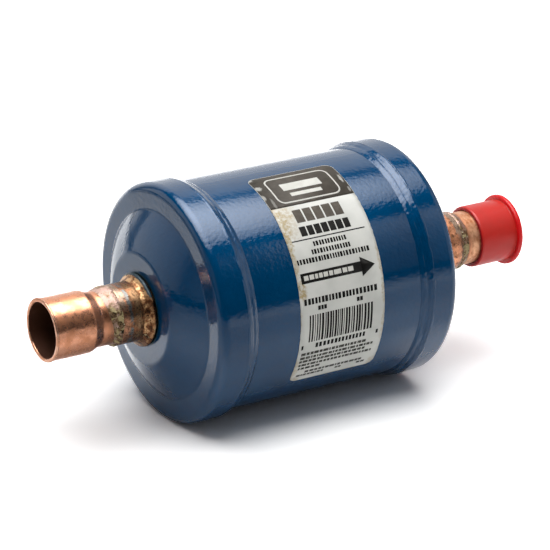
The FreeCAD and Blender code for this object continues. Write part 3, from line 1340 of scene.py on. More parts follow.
def print_row_tree(most: int = 90) -> Tree:
    """Geometry tree of one printed row: solid blocks of random width, wrapped on the shell.

    Args:
        most: Blocks in the longest row.

    Returns:
        The tree.
    """
    lengths = ("Start", "Length", "Base", "Height", "Narrow", "Wide", "Small Gap", "Big Gap",
               "Thickness", "Radius")
    tree, given = new_tree("print_row", {
        **dict.fromkeys(lengths, "Float"), "Steps": "Int", "Seed": "Int", "Material": "Material"})
    later = add(tree, "Math", given["Seed"], 1.0, operation="ADD")
    width, gap = (add(tree, "FunctionNodeRandomValue", given[least], given[greatest], Seed=seed)
                  for least, greatest, seed in (("Narrow", "Wide", given["Seed"]),
                                                ("Small Gap", "Big Gap", later)))
    pitch = add(tree, "Math", width, gap, operation="ADD")
    run = add(tree, "GeometryNodeAccumulateField", pitch, out="Trailing")
    middle = add(tree, "Math", width, 0.5, run, operation="MULTIPLY_ADD")
    along = add(tree, "Math", middle, given["Start"], operation="ADD")
    around = add(tree, "Math", given["Height"], 0.5, given["Base"], operation="MULTIPLY_ADD")
    spots = add(tree, "CombineXYZ", along, around)
    ends = add(tree, "Math", run, width, operation="ADD")
    line = add(tree, "GeometryNodeMeshLine", Count=most)
    for name, value in (("width", width), ("end", ends)):
        line = add(tree, "GeometryNodeStoreNamedAttribute", line, Name=name, Value=value)
    spaced = add(tree, "GeometryNodeSetPosition", line, Position=spots)
    end, wide = (add(tree, "GeometryNodeInputNamedAttribute", name) for name in ("end", "width"))
    past = add(tree, "Math", end, given["Length"], operation="GREATER_THAN")
    kept = add(tree, "GeometryNodeDeleteGeometry", spaced, past)
    block = add(tree, "GeometryNodeMeshCube", Size=(1, 1, 1), Vertices_Y=given["Steps"])
    scale = add(tree, "CombineXYZ", wide, given["Height"], given["Thickness"])
    blocks = add(tree, "GeometryNodeInstanceOnPoints", kept, Instance=block, Scale=scale)
    real = add(tree, "GeometryNodeRealizeInstances", blocks)
    return close_tree(tree, wrapped(tree, real, given["Radius"]), given["Material"])


# Sub-assemblies


@dataclass(frozen=True)
class CastSkin:
    """Unevenness of a ring that was welded, brazed or rolled.

    Attributes:
        steps: Facets round the ring.
        lump: Size of the uneven places.
        rise: How far they rise and fall.
        stretch: How many times longer they are round the ring than across it.
        ripples: Ripples in one turn.
        ripple_depth: Half the height of a ripple.
    """

    steps: int
    lump: float
    rise: float
    stretch: float
    ripples: int
    ripple_depth: float

    def ring(self, tree: Tree, outline: Outline, side: Side, seed: int, material: Material,
             lean: float = 0.0) -> Mesh:
        """Makes an uneven ring.

        Args:
            tree: The geometry tree that makes the skin.
            outline: The ring's section, outward from the flat rim and by radius.
            side: The end it is on.
            seed: Seed of its unevenness.
            material: Its material.
            lean: How much further it ran outward below than at mid height.

        Returns:
            The ring's mesh.
        """
        return grown(tree, turned(softened(outline), side, self.steps, lean), {
            "Lump Size": self.lump * MM, "Lump Height": self.rise * MM, "Stretch": self.stretch,
            "Ripples": self.ripples, "Ripple Depth": self.ripple_depth * MM,
            "Seed": float(seed), "Material": material})


@dataclass(frozen=True)
class Crumbs:
    """Loose crumbs on a surface.

    Attributes:
        density: How many there are on a square metre.
        smallest: Size of the smallest.
        largest: Size of the largest.
    """

    density: float
    smallest: float
    largest: float

    def over(self, tree: Tree, mesh: Mesh, seed: int, material: Material) -> Mesh:
        """Strews the crumbs over a mesh.

        Args:
            tree: The geometry tree that strews them.
            mesh: The mesh under them, which stays as it is.
            seed: Seed of their places and sizes.
            material: Their material.

        Returns:
            The crumbs alone.
        """
        return grown(tree, mesh.copy(), {
            "Density": self.density, "Smallest": self.smallest * MM,
            "Largest": self.largest * MM, "Seed": seed, "Material": material})


@dataclass
class Shell:
    """Shell tube and end caps as the CAD has them, with painted welds in their corners.

    Attributes:
        weld: Section of a weld, outward from the flat rim and by radius.
        skin: Unevenness of a weld, with a ripple for each 1.35 mm of its length.
        seed: Seed of the inlet's weld. The outlet's is the next.
    """

    weld: Outline = (
        (-12.6, 32.9), (-12.5, 33.3), (-11.9, 33.64), (-11.15, 33.98), (-10.5, 34.02),
        (-9.9, 34.34), (-8.9, 34.76), (-8.2, 34.8), (-7.9, 34.45), (-8.9, 34.0), (-10.4, 32.9))
    skin: CastSkin = CastSkin(840, 1.4, 0.36, 2.6, round(2 * math.pi * AXIS.radius / 1.35), 0.006)
    seed: int = 3

    def build(self, materials: dict[str, Material], trees: dict[str, Tree]) -> None:
        """Makes both welds.

        Args:
            materials: The finishes by name.
            trees: The geometry trees by name.
        """
        for seed, side in enumerate(Side, self.seed):
            mesh = self.skin.ring(trees["skin"], self.weld, side, seed, materials["weld_enamel"])
            placed(side.word + "_weld_bead", mesh, side.word + "_seam_weld")


@dataclass
class Connection:
    """One end's braze metal: the fillet on the dome, the ring on the tube, and their crumbs.

    Attributes:
        side: Which end.
        ring_short: How far the ring stays behind the CAD's ring at mid height.
        ring_lean: How much further it ran along the tube below than at mid height.
        ring_rise: How far it bulges over the collar's end.
        ring_skin: Its unevenness.
        fillet: Section of the fillet, outward from the flat rim and by radius.
        fillet_skin: Its unevenness.
        fillet_soot: Soot crumbs on the fillet.
        ring_soot: Soot crumbs on the ring.
        ring_flux: Flux crumbs on the ring.
        seed: Middle of the two ends' first seeds.
    """

    side: Side
    ring_short: float = 0.4
    ring_lean: float = -1.5
    ring_rise: float = 0.16
    ring_skin: CastSkin = CastSkin(280, 1.9, 0.5, 1.2, 29, 0.012)
    fillet: Outline = (
        (5.7, 8.3), (9.5, 8.3), (9.8, 8.6), (9.2, 8.95), (8.65, 9.3), (8.4, 9.6),
        (8.1, 9.95), (7.85, 10.3), (7.55, 10.58), (7.2, 10.65), (6.95, 10.5), (6.7, 10.15),
        (6.45, 9.75), (5.9, 9.4))
    fillet_skin: CastSkin = CastSkin(340, 2.0, 0.26, 2.0, 37, 0.01)
    fillet_soot: Crumbs = Crumbs(3.4e5, 0.08, 0.3)
    ring_soot: Crumbs = Crumbs(4.5e5, 0.08, 0.3)
    ring_flux: Crumbs = Crumbs(2.2e5, 0.1, 0.36)
    seed: int = 11

    def ring_outline(self) -> Outline:
        """Works out the ring's section, from the collar's end down to the tube.

        Returns:
            The section, outward from the flat rim and by radius.
        """
        start, end = AXIS.outward(self.side.word + "_tube_braze", self.side)
        end -= self.ring_short
        span = end - start
        collar, tube = AXIS.collar, AXIS.tube
        return ((start - 0.35, tube - 0.4), (start - 0.35, collar - 0.1),
                (start + 0.05, collar + 0.1), (start + 0.25 * span, collar + self.ring_rise),
                (start + 0.6 * span, tube + 0.52), (start + 0.9 * span, tube + 0.2),
                (end + 0.25, tube - 0.04), (end + 0.1, tube - 0.4))

    def build(self, materials: dict[str, Material], trees: dict[str, Tree]) -> None:
        """Makes the fillet and the ring, then strews soot and flux on them.

        Args:
            materials: The finishes by name.
            trees: The geometry trees by name.
        """
        seed, word = self.seed + self.side.value, self.side.word
        fillet = self.fillet_skin.ring(trees["skin"], self.fillet, self.side, seed,
                                       materials["fillet"])
        placed(word + "_fillet", fillet, word + "_collar_braze")
        ring = self.ring_skin.ring(trees["skin"], self.ring_outline(), self.side, seed + 7,
                                   materials["ring"], self.ring_lean)
        placed(word + "_ring", ring, word + "_tube_braze")
        soot = [crumbs.over(trees["crumbs"], mesh, seed + k, materials["soot"])
                for k, crumbs, mesh in ((1, self.fillet_soot, fillet), (2, self.ring_soot, ring))]
        placed(word + "_soot_crumbs", joined(soot))
        flux = self.ring_flux.over(trees["crumbs"], ring, seed + 3, materials["flux"])
        placed(word + "_flux_crumbs", flux)


@dataclass
class SocketLip:
    """Rolled edge of the solder socket's mouth, where the tube was cut and trimmed.

    Attributes:
        outline: Its section, outward from the flat rim and by radius.
        skin: Its unevenness.
        seed: Seed of that.
    """

    outline: Outline = (
        (36.65, 8.85), (36.95, 9.12), (37.3, 9.14), (37.46, 8.95), (37.46, 8.3),
        (37.32, 8.06), (36.95, 7.98), (36.8, 8.4))
    skin: CastSkin = CastSkin(220, 3.0, 0.08, 3.0, 3, 0.02)
    seed: int = 2

    def build(self, materials: dict[str, Material], trees: dict[str, Tree]) -> None:
        """Makes the lip, slightly out of true.

        Args:
            materials: The finishes by name.
            trees: The geometry trees by name.
        """
        placed("socket_lip", self.skin.ring(trees["skin"], self.outline, Side.INLET, self.seed,
                                            materials["lip_copper"]))


@dataclass(frozen=True)
class Row:
    """One printed row: where it runs, in millimetres from the middle and degrees of the shell.

    Attributes:
        start: Left end.
        end: Right end.
        foot: Lower edge, in degrees.
        head: Upper edge, in degrees.
        narrow: Width of the narrowest block.
        wide: Width of the widest.
        small_gap: Narrowest space between blocks.
        big_gap: Widest space.
    """

    start: float
    end: float
    foot: float
    head: float
    narrow: float
    wide: float
    small_gap: float = 0.3
    big_gap: float = 0.45


@dataclass
class Label:
    """Paper sheet on the shell with a plain printed layout: blocks, bars, an arrow, stripes.

    Attributes:
        thick: Height of the paper over the shell.
        under: How far its lower side lies under that.
        top: Its upper edge, in degrees.
        corner: Radius of its corners.
        columns: Facets along the flow.
        step: Facet length round the shell.
        wear: How uneven its edge is.
        wear_rate: How fast the edge strays, in strays to the millimetre.
        lift: How far the ink stands above the paper.
        over: How much further the white print stands above it, on other ink.
        sunk: How far the ink reaches into the paper.
        margin: Bare paper round the header.
        header_foot: The header's lower edge, in degrees.
        emblem: Left, right, foot, head, corner radius and line width of the frame in the header.
        shaft: The arrow's shaft.
        point: The arrow's head.
        white_seed: Seed of the first white row.
        row_seed: Seed of the first row of each other group.
        black_rows: Rows of full black.
        small_rows: Rows of thin, rubbed small print.
        grey_rows: Rows of grey blocks.
        white_rows: Rows printed white, bare of ink.
    """

    thick: float = 0.12
    under: float = 0.1
    top: float = 83.3
    corner: float = 2.3
    columns: int = 24
    step: float = 0.7
    wear: float = 0.07
    wear_rate: float = 0.9
    lift: float = 0.012
    over: float = 0.006
    sunk: float = 0.04
    margin: float = 0.12
    header_foot: float = 58.7
    emblem: Span = (-9.5, 11.5, 60.6, 80.0, 2.4, 0.5)
    shaft: Outline = ((-12.0, 18.8), (8.2, 18.8), (8.2, 23.8), (-12.0, 23.8))
    point: Outline = ((8.0, 16.4), (12.6, 21.2), (8.0, 26.0))
    white_seed: int = 70
    row_seed: int = 20
    black_rows: tuple[Row, ...] = (
        Row(-7.8, 8.9, 41.3, 46.4, 1.9, 2.1, 0.38, 0.38),
        Row(-11.6, 12.6, 39.35, 39.95, 24.2, 24.2),
        Row(-5.2, 6.0, 35.6, 38.0, 0.45, 0.8, 0.22, 0.42),
        Row(-6.5, 7.0, 31.8, 34.2, 0.45, 0.8, 0.22, 0.42),
        Row(-12.0, 12.7, 28.0, 30.5, 0.45, 0.8, 0.22, 0.42),
        Row(-12.0, 12.7, 8.4, 11.4, 0.6, 0.95, 0.25, 0.45),
        Row(-7.6, -4.2, 5.0, 7.1, 0.7, 0.9, 0.2, 0.2),
        Row(5.3, 7.6, 5.0, 7.1, 0.9, 1.0, 0.2, 0.2),
        Row(-10.5, 11.1, -11.0, 3.1, 0.18, 0.72, 0.2, 0.55),
        Row(-7.9, 8.7, -14.8, -12.2, 0.7, 0.95, 0.35, 0.5),
        Row(-12.6, -11.9, -14.8, -12.4, 0.65, 0.68), Row(12.3, 13.1, -14.6, -12.4, 0.7, 0.75))
    small_rows: tuple[Row, ...] = (
        Row(-12.2, 10.7, -18.6, -17.0, 0.35, 1.9, 0.2, 0.35),
        Row(-12.3, 12.7, -21.0, -19.5, 0.35, 1.9, 0.2, 0.35),
        Row(-12.3, 10.4, -23.2, -21.7, 0.35, 1.9, 0.2, 0.35),
        Row(-12.2, 12.3, -25.6, -24.1, 0.35, 1.9, 0.2, 0.35),
        Row(-12.0, -3.5, -28.0, -26.5, 0.35, 1.9, 0.2, 0.35),
        Row(-9.2, 10.0, -31.0, -29.5, 0.5, 1.6, 0.2, 0.35),
        Row(-11.6, -1.9, -33.3, -31.9, 0.4, 1.4, 0.2, 0.3),
        Row(1.4, 3.7, -33.3, -31.9, 0.9, 1.0, 0.15, 0.2),
        Row(8.6, 12.4, -33.3, -31.9, 0.8, 1.5, 0.2, 0.3))
    grey_rows: tuple[Row, ...] = (Row(-7.4, 8.5, 48.6, 56.0, 2.55, 2.85, 0.5, 0.5),)
    white_rows: tuple[Row, ...] = (
        Row(-5.6, 7.2, 69.0, 74.2, 12.8, 12.8), Row(-4.4, 5.9, 64.6, 66.9, 10.3, 10.3),
        Row(-11.0, 7.7, 20.2, 22.5, 0.9, 2.6, 0.3, 0.5))

    def __post_init__(self) -> None:
        """Takes the sheet's place from its CAD node."""
        low, high = box_mm("label")
        self.left, self.right = low.x - AXIS.centre, high.x - AXIS.centre
        self.paper = AXIS.radius + self.thick
        self.bottom = math.degrees(math.asin(low.z / self.paper))

    def arc(self, angle: float) -> float:
        """Distance round the paper of an angle in degrees."""
        return math.radians(angle) * self.paper

    def block(self, outline: Outline) -> Mesh:
        """Makes a flat slab of ink.

        Args:
            outline: Convex outline, in millimetres from the middle and degrees from the front.

        Returns:
            The slab, cut into strips that can follow the shell.
        """
        bm = bmesh.new()
        flat = [(x + AXIS.centre, self.arc(angle)) for x, angle in outline]
        low = bm.faces.new([bm.verts.new(to_m(x, y, -self.sunk)) for x, y in flat])
        raised = bmesh.ops.extrude_face_region(bm, geom=[low])["geom"]
        verts = [part for part in raised if isinstance(part, bmesh.types.BMVert)]
        bmesh.ops.translate(bm, vec=to_m(0, 0, self.sunk + self.lift), verts=verts)
        self.cut_strips(bm, [y for _, y in flat])
        return finished(bm, "block")

    def cut_strips(self, bm: bmesh.types.BMesh, heights: list[float]) -> None:
        """Cuts a flat slab across at every step.

        Args:
            bm: The slab.
            heights: Places of its corners round the shell.
        """
        low, high = min(heights), max(heights)
        for k in range(1, int((high - low) / self.step) + 1):
            geometry = bm.verts[:] + bm.edges[:] + bm.faces[:]
            bmesh.ops.bisect_plane(bm, geom=geometry, plane_co=to_m(0, low + k * self.step, 0),
                                   plane_no=(0, 1, 0))

    def frame_line(self) -> Mesh:
        """Makes the emblem's thin rounded frame.

        Returns:
            The frame's mesh.
        """
        left, right, foot, head, corner, width = self.emblem
        bm = bmesh.new()
        loops = []
        for inset in (0.0, width):
            low, high = self.arc(foot) + inset, self.arc(head) - inset
            points = rounded_box(left + inset, right - inset, low, high, corner - inset)
            for z in (-self.sunk, self.lift + self.over):
                loops.append([bm.verts.new(to_m(x + AXIS.centre, y, z)) for x, y in points])
        outer_low, outer_high, inner_low, inner_high = loops
        bridge(bm, [outer_low, outer_high, inner_high, inner_low])
        self.cut_strips(bm, [self.arc(foot), self.arc(head)])
        return finished(bm, "frame_line")

    def sheet(self) -> Mesh:
        """Makes the paper sheet with rounded, slightly worn edges, still flat.

        Returns:
            The sheet's mesh.
        """
        low, high = self.arc(self.bottom), self.arc(self.top)
        bends = [self.corner * (1 - math.cos(math.radians(a))) for a in range(0, 90, 10)]
        straight = high - low - 2 * self.corner
        count = int(straight / self.step)
        rows = [low + bend for bend in bends]
        rows += [low + self.corner + straight * k / count for k in range(count + 1)]
        rows += [high - bend for bend in reversed(bends)]
        bm = bmesh.new()
        layers = []
        for z in (-self.under, 0.0):
            grid = []
            for y in rows:
                off = max(low + self.corner - y, y - high + self.corner, 0.0)
                inset = self.corner - math.sqrt(max(self.corner ** 2 - off ** 2, 0.0))
                left = self.left + inset + self.stray(y, 0.0)
                right = self.right - inset + self.stray(y, 40.0)
                grid.append([bm.verts.new(to_m(
                    AXIS.centre + left + (right - left) * k / self.columns, y, z))
                    for k in range(self.columns + 1)])
            layers.append(grid)
        under, over = layers
        strips = [pair for grid in layers for pair in zip(grid, grid[1:])]
        strips += [(under[0], over[0]), (under[-1], over[-1])]
        strips += [([row[k] for row in under], [row[k] for row in over])
                   for k in (0, self.columns)]
        for here, there in strips:
            for k in range(len(here) - 1):
                bm.faces.new((here[k], here[k + 1], there[k + 1], there[k]))
        return finished(bm, "sheet")

    def stray(self, y: float, edge: float) -> float:
        """How far one of the sheet's edges strays at a place along it."""
        return self.wear * smooth_noise.noise(Vector((y * self.wear_rate, edge, 2.0))) * 2

    def row(self, tree: Tree, row: Row, seed: int, ink: Material, lift: float) -> Mesh:
        """Makes one row of blocks on the paper.

        Args:
            tree: The geometry tree of a row.
            row: Where the row runs.
            seed: Seed of its blocks' widths.
            ink: Its material.
            lift: How far it stands above the paper.

        Returns:
            The row's mesh.
        """
        foot, height = self.arc(row.foot), self.arc(row.head) - self.arc(row.foot)
        lengths = {"Start": AXIS.centre + row.start, "Length": row.end - row.start,
                   "Base": foot, "Height": height, "Narrow": row.narrow, "Wide": row.wide,
                   "Small Gap": row.small_gap, "Big Gap": row.big_gap, "Thickness": 2 * lift,
                   "Radius": self.paper}
        return grown(tree, None, {
            **{name: length * MM for name, length in lengths.items()},
            "Steps": max(2, math.ceil(height / self.step) + 1), "Seed": seed, "Material": ink})

    def build(self, materials: dict[str, Material], trees: dict[str, Tree]) -> None:
        """Makes the sheet and everything printed on it.

        Args:
            materials: The finishes by name.
            trees: The geometry trees by name.
        """
        def on_shell(mesh: Mesh, finish: str) -> Mesh:
            """The flat mesh wrapped at the paper's radius."""
            return grown(trees["wrap"], mesh, {"Radius": self.paper * MM,
                                               "Material": materials[finish]})

        placed("label_sheet", on_shell(self.sheet(), "label_paper"), "label")
        inset = math.degrees(self.margin / self.paper)
        header = rounded_box(self.left + self.margin, self.right - self.margin,
                             self.arc(self.header_foot), self.arc(self.top - inset), self.corner,
                             square_foot=True)
        field = self.block([(x, math.degrees(y / self.paper)) for x, y in header])
        placed("label_header", on_shell(field, "header"))
        arrow = [on_shell(self.block(part), "black") for part in (self.shaft, self.point)]
        placed("label_arrow", joined(arrow))
        border = on_shell(self.frame_line(), "white")
        for ink, others, group, seed, lift in (
                ("white", [border], self.white_rows, self.white_seed, self.lift + self.over),
                ("black", [], self.black_rows, self.row_seed, self.lift),
                ("small", [], self.small_rows, self.row_seed, self.lift),
                ("grey", [], self.grey_rows, self.row_seed, self.lift)):
            rows = [self.row(trees["row"], row, seed + k, materials[ink], lift)
                    for k, row in enumerate(group)]
            placed(f"label_{ink}_print", joined(others + rows))


# Studio


@dataclass(frozen=True)
class Lamp:
    """Soft light or the mirror image of one.

    Attributes:
        place: Where it is, from the middle of the body.
        size: Its width and its depth.
        power: Its power in watts.
        tilt: Degrees that it leans from facing straight down, towards facing backwards.
        square: Rectangular instead of oval.
        diffuse: Lights surfaces, instead of being seen in glossy ones.
        profile: Places and brightness: across an oval lamp from its centre, where 0.5 is its
            edge, or up a rectangular one from its lower edge to its upper one.
    """

    place: tuple[float, float, float]
    size: tuple[float, float]
    power: float
    tilt: float = 0.0
    square: bool = False
    diffuse: bool = False
    profile: Outline = ()

    def build(self, name: str) -> None:
        """Makes the lamp.

        Args:
            name: Its name.
        """
        light = bpy.data.lights.new(name, "AREA")
        light.shape = "RECTANGLE" if self.square else "ELLIPSE"
        light.size, light.size_y = self.size[0] * MM, self.size[1] * MM
        light.energy = self.power
        if self.profile:
            tree = fresh_tree(light)
            across = add(tree, "NewGeometry", out="Parametric")
            off = (add(tree, "SeparateXYZ", across, out="Y") if self.square else
                   add(tree, "VectorMath", across, (0.5, 0.5, 0.0), operation="DISTANCE"))
            strength = graph(tree, off, self.profile)
            add(tree, "OutputLight", add(tree, "Emission", Strength=strength))
        holder = bpy.data.objects.new(name, light)
        holder.location = to_m(AXIS.centre + self.place[0], *self.place[1:])
        holder.rotation_euler = (math.radians(self.tilt), 0.0, 0.0)
        holder.visible_glossy = not self.diffuse
        holder.visible_diffuse = self.diffuse
        bpy.context.scene.collection.objects.link(holder)


class FloorPatch(NamedTuple):
    """Oval place on the floor that is brighter or darker in mirror images.

    Attributes:
        x: Place along the flow, from the middle of the body.
        y: Place backwards.
        wide: Half its width.
        deep: Half its depth.
        change: Share by which it is brighter, or darker if below zero.
    """

    x: float
    y: float
    wide: float
    deep: float
    change: float


@dataclass
class Studio:
    """Floor, lights, world and camera.

    Attributes:
        azimuth: Camera's place round the object, in degrees from the front.
        elevation: Camera's height above the horizon, in degrees.
        roll: Camera's turn about its own line of sight, in degrees.
        distance: From the camera to the point it looks at.
        aim: That point, from the middle of the body.
        lens: Focal length on a sensor of the given width.
        sensor: That width.
        clip: Nearest and furthest distance that the camera shows, in metres.
        floor_size: Side of the floor.
        floor_white: Its colour.
        camera_gain: How much brighter the camera sees it near the object.
        far_gain: The same far off, where it turns white.
        gain_from: Distance where the first ends.
        gain_to: Distance where the second begins.
        front: Brightness of its mirror image in front of the object, by place along the flow.
        back: The same behind.
        deep: Brightness behind, by place backwards.
        behind: Places backwards between which front turns into back.
        near: Places along the flow between which the mirror image comes on.
        patches: Brighter and darker places in it.
        patch_edge: Where a patch starts and is full, by distance over its half size.
        wall: Brightness of the wall's mirror image, by degrees from straight behind.
        wall_top: Height where it ends, as a sine, by the same degrees.
        wall_fade: How far above and below that it fades.
        fill_strength: Light from all round, at the zenith.
        fill_low: Its share at the horizon.
        key: Overhead softbox, as a light.
        images: Mirror images of the softbox and of two dim cards in front.
    """

    azimuth: float = -32.174
    elevation: float = 20.810
    roll: float = 0.165
    distance: float = 909.64
    aim: tuple[float, float, float] = (-0.904, 0.0, 1.229)
    lens: float = 206.80
    sensor: float = 36.0
    clip: Span = (0.05, 50.0)
    floor_size: float = 9000.0
    floor_white: str = "#F2F2F2"
    camera_gain: float = 1.7
    far_gain: float = 5.0
    gain_from: float = 170.0
    gain_to: float = 480.0
    front: Outline = ((-150.0, 0.55), (150.0, 1.35))
    back: Outline = ((-200.0, 0.6), (-100.0, 1.65))
    deep: Outline = ((0.0, 1.0), (85.0, 0.95), (110.0, 0.8), (260.0, 1.1), (450.0, 1.8),
                     (800.0, 3.2))
    behind: Span = (0.0, 90.0)
    near: Span = (-480.0, -340.0)
    patches: tuple[FloorPatch, ...] = (
        FloorPatch(-155.0, -32.0, 95.0, 45.0, 0.5), FloorPatch(-55.0, 44.0, 32.0, 26.0, 0.6),
        FloorPatch(50.0, -160.0, 150.0, 70.0, -0.24),
        FloorPatch(-180.0, 130.0, 50.0, 70.0, -0.22), FloorPatch(55.0, -25.0, 30.0, 22.0, 0.6),
        FloorPatch(-54.0, -52.0, 24.0, 20.0, 0.35))
    patch_edge: Span = (1.35, 0.65)
    wall: Outline = (
        (-130.0, 0.0), (-112.0, 0.2), (-98.0, 0.26), (-83.0, 0.12), (-78.0, 0.42), (-70.0, 0.6),
        (-60.0, 0.82), (-45.0, 1.0), (-24.0, 1.08), (-21.0, 0.2), (-15.0, 0.2), (-12.0, 0.8),
        (-5.0, 1.05), (5.0, 1.35), (15.0, 1.3), (30.0, 1.05), (55.0, 1.0), (62.0, 0.22),
        (80.0, 0.22), (92.0, 0.7), (105.0, 0.72), (113.0, 0.5), (124.0, 0.6), (132.0, 0.45),
        (145.0, 0.0))
    wall_top: Outline = ((-20.0, 0.5), (-12.0, 0.7))
    wall_fade: float = 0.05
    fill_strength: float = 0.33
    fill_low: float = 0.12
    key: Lamp = Lamp((0.0, 0.0, 600.0), (960.0, 780.0), 5.25, diffuse=True)
    images: tuple[Lamp, ...] = (
        Lamp((-45.0, 14.0, 300.0), (600.0, 390.0), 5.3, profile=(
            (0.0, 1.0), (0.12, 0.92), (0.22, 0.76), (0.33, 0.55), (0.4, 0.34), (0.47, 0.16),
            (0.5, 0.0))),
        Lamp((225.0, -190.0, 205.0), (190.0, 140.0), 0.0633, tilt=57.4, square=True,
             profile=((0.0, 0.36), (0.45, 0.62), (0.85, 0.95), (0.95, 0.8), (1.0, 0.1))),
        Lamp((225.0, -254.0, 92.0), (160.0, 128.0), 0.018, tilt=57.4, square=True,
             profile=((0.0, 0.43), (1.0, 1.0))))

    def build(self) -> None:
        """Makes everything that isn't part of the object."""
        self.make_camera()
        self.make_floor()
        self.make_world()
        self.key.build("key")
        for k, image in enumerate(self.images):
            image.build(f"image_{k}")
        bpy.context.scene.view_settings.view_transform = "Standard"

    def make_camera(self) -> None:
        """Places the camera where the reference view was taken from."""
        a, e, turn = (math.radians(v) for v in (self.azimuth, self.elevation, self.roll))
        back = Vector((math.sin(a) * math.cos(e), -math.cos(a) * math.cos(e), math.sin(e)))
        right = (-back).cross(Vector((0, 0, 1))).normalized()
        up = right.cross(-back)
        rolled_right = math.cos(turn) * right + math.sin(turn) * up
        rolled_up = math.cos(turn) * up - math.sin(turn) * right
        axes = Matrix((rolled_right, rolled_up, back)).transposed()
        target = to_m(AXIS.centre + self.aim[0], *self.aim[1:])
        camera = bpy.data.objects.new("camera", bpy.data.cameras.new("camera"))
        camera.matrix_world = Matrix.Translation(target + back * self.distance * MM) @ axes.to_4x4()
        camera.data.lens = self.lens
        camera.data.sensor_width = self.sensor
        camera.data.clip_start, camera.data.clip_end = self.clip
        bpy.context.scene.collection.objects.link(camera)
        bpy.context.scene.camera = camera

    def make_floor(self) -> None:
        """Makes the pale floor under the two cap bands, white where no shadow falls."""
        half, z = self.floor_size / 2, -AXIS.band
        mesh = bpy.data.meshes.new("floor")
        mesh.from_pydata([to_m(AXIS.centre + x, y, z) for x, y in (
            (-half, -half), (half, -half), (half, half), (-half, half))], [], [(0, 1, 2, 3)])
        material = bpy.data.materials.new("studio_floor")
        mesh.materials.append(material)
        tree = fresh_tree(material)
        rays = add(tree, "LightPath").node.outputs
        place = add(tree, "TexCoord", out="Object")
        middle = add(tree, "VectorMath", place, to_m(AXIS.centre, 0, z), operation="DISTANCE")
        far = add(tree, "MapRange", middle, *to_m(self.gain_from, self.gain_to), **SOFT)
        seen = add(tree, "MapRange", far, 0.0, 1.0, self.camera_gain, self.far_gain)
        mirror = add(tree, "Mix", rays["Is Glossy Ray"], 1.0, self.mirror_gain(tree, place))
        gain = add(tree, "Mix", rays["Is Camera Ray"], mirror, seen)
        white = add(tree, "VectorMath", linear(self.floor_white)[:3], gain, operation="SCALE")
        add(tree, "OutputMaterial", add(tree, "BsdfDiffuse", white))
        floor = bpy.data.objects.new("floor", mesh)
        bpy.context.scene.collection.objects.link(floor)

    def mirror_gain(self, tree: Tree, place: Socket) -> Socket:
        """Works out how bright the floor is in mirror images.

        Args:
            tree: The floor's tree.
            place: Object coordinates.

        Returns:
            The brightness by place.
        """
        x, y, _ = add(tree, "SeparateXYZ", place).node.outputs
        across = add(tree, "Math", x, AXIS.centre * MM, operation="SUBTRACT")
        (x0, low), (x1, high) = self.front
        front = add(tree, "MapRange", across, *to_m(x0, x1), low, high)
        (x0, low), (x1, high) = self.back
        back = add(tree, "MapRange", across, *to_m(x0, x1), low, high, **SOFT)
        most = max(gain for _, gain in self.deep)
        deep = graph(tree, y, tuple((depth * MM, gain / most) for depth, gain in self.deep))
        back = add(tree, "Math", back, deep, operation="MULTIPLY")
        back = add(tree, "Math", back, most, operation="MULTIPLY")
        behind = add(tree, "MapRange", y, *to_m(*self.behind), **SOFT)
        near = add(tree, "MapRange", across, *to_m(*self.near), **SOFT)
        gain = add(tree, "Mix", behind, front, back)
        gain = add(tree, "Math", near, gain, operation="MULTIPLY")
        for patch in self.patches:
            right = add(tree, "Math", across, per_mm(patch.wide), -patch.x / patch.wide,
                        operation="MULTIPLY_ADD")
            away = add(tree, "Math", y, per_mm(patch.deep), -patch.y / patch.deep,
                       operation="MULTIPLY_ADD")
            off = add(tree, "VectorMath", add(tree, "CombineXYZ", right, away),
                      operation="LENGTH")
            changed = add(tree, "MapRange", off, *self.patch_edge, 1.0, 1.0 + patch.change,
                          **SOFT)
            gain = add(tree, "Math", gain, changed, operation="MULTIPLY")
        return gain

    def make_world(self) -> None:
        """Makes an uneven pale wall behind, a dark room in front, and a dim fill from above."""
        world = bpy.data.worlds.new("studio")
        tree = fresh_tree(world)
        rays = add(tree, "LightPath").node.outputs
        x, y, z = add(tree, "SeparateXYZ", add(tree, "TexCoord", out="Generated")).node.outputs
        turn = add(tree, "Math", x, y, operation="ARCTAN2")
        wall = graph(tree, turn, tuple((math.radians(angle), glow) for angle, glow in self.wall))
        (start, low), (end, high) = self.wall_top
        top = add(tree, "MapRange", turn, math.radians(start), math.radians(end), low, high,
                  **SOFT)
        above = add(tree, "Math", z, top, operation="SUBTRACT")
        below = add(tree, "MapRange", above, self.wall_fade, -self.wall_fade, **SOFT)
        glow = add(tree, "Math", wall, below, operation="MULTIPLY")
        fill = add(tree, "Math", add(tree, "MapRange", z, 0.0, 1.0, self.fill_low, 1.0),
                   self.fill_strength, operation="MULTIPLY")
        mirrored, filled, white = (add(tree, "Background", (1.0, 1.0, 1.0, 1.0), strength)
                                   for strength in (glow, fill, 1.0))
        lit = add(tree, "MixShader", rays["Is Glossy Ray"], filled, mirrored)
        seen = add(tree, "Math", rays["Is Camera Ray"], rays["Is Transmission Ray"],
                   operation="MAXIMUM")
        add(tree, "OutputWorld", add(tree, "MixShader", seen, lit, white))
        bpy.context.scene.world = world


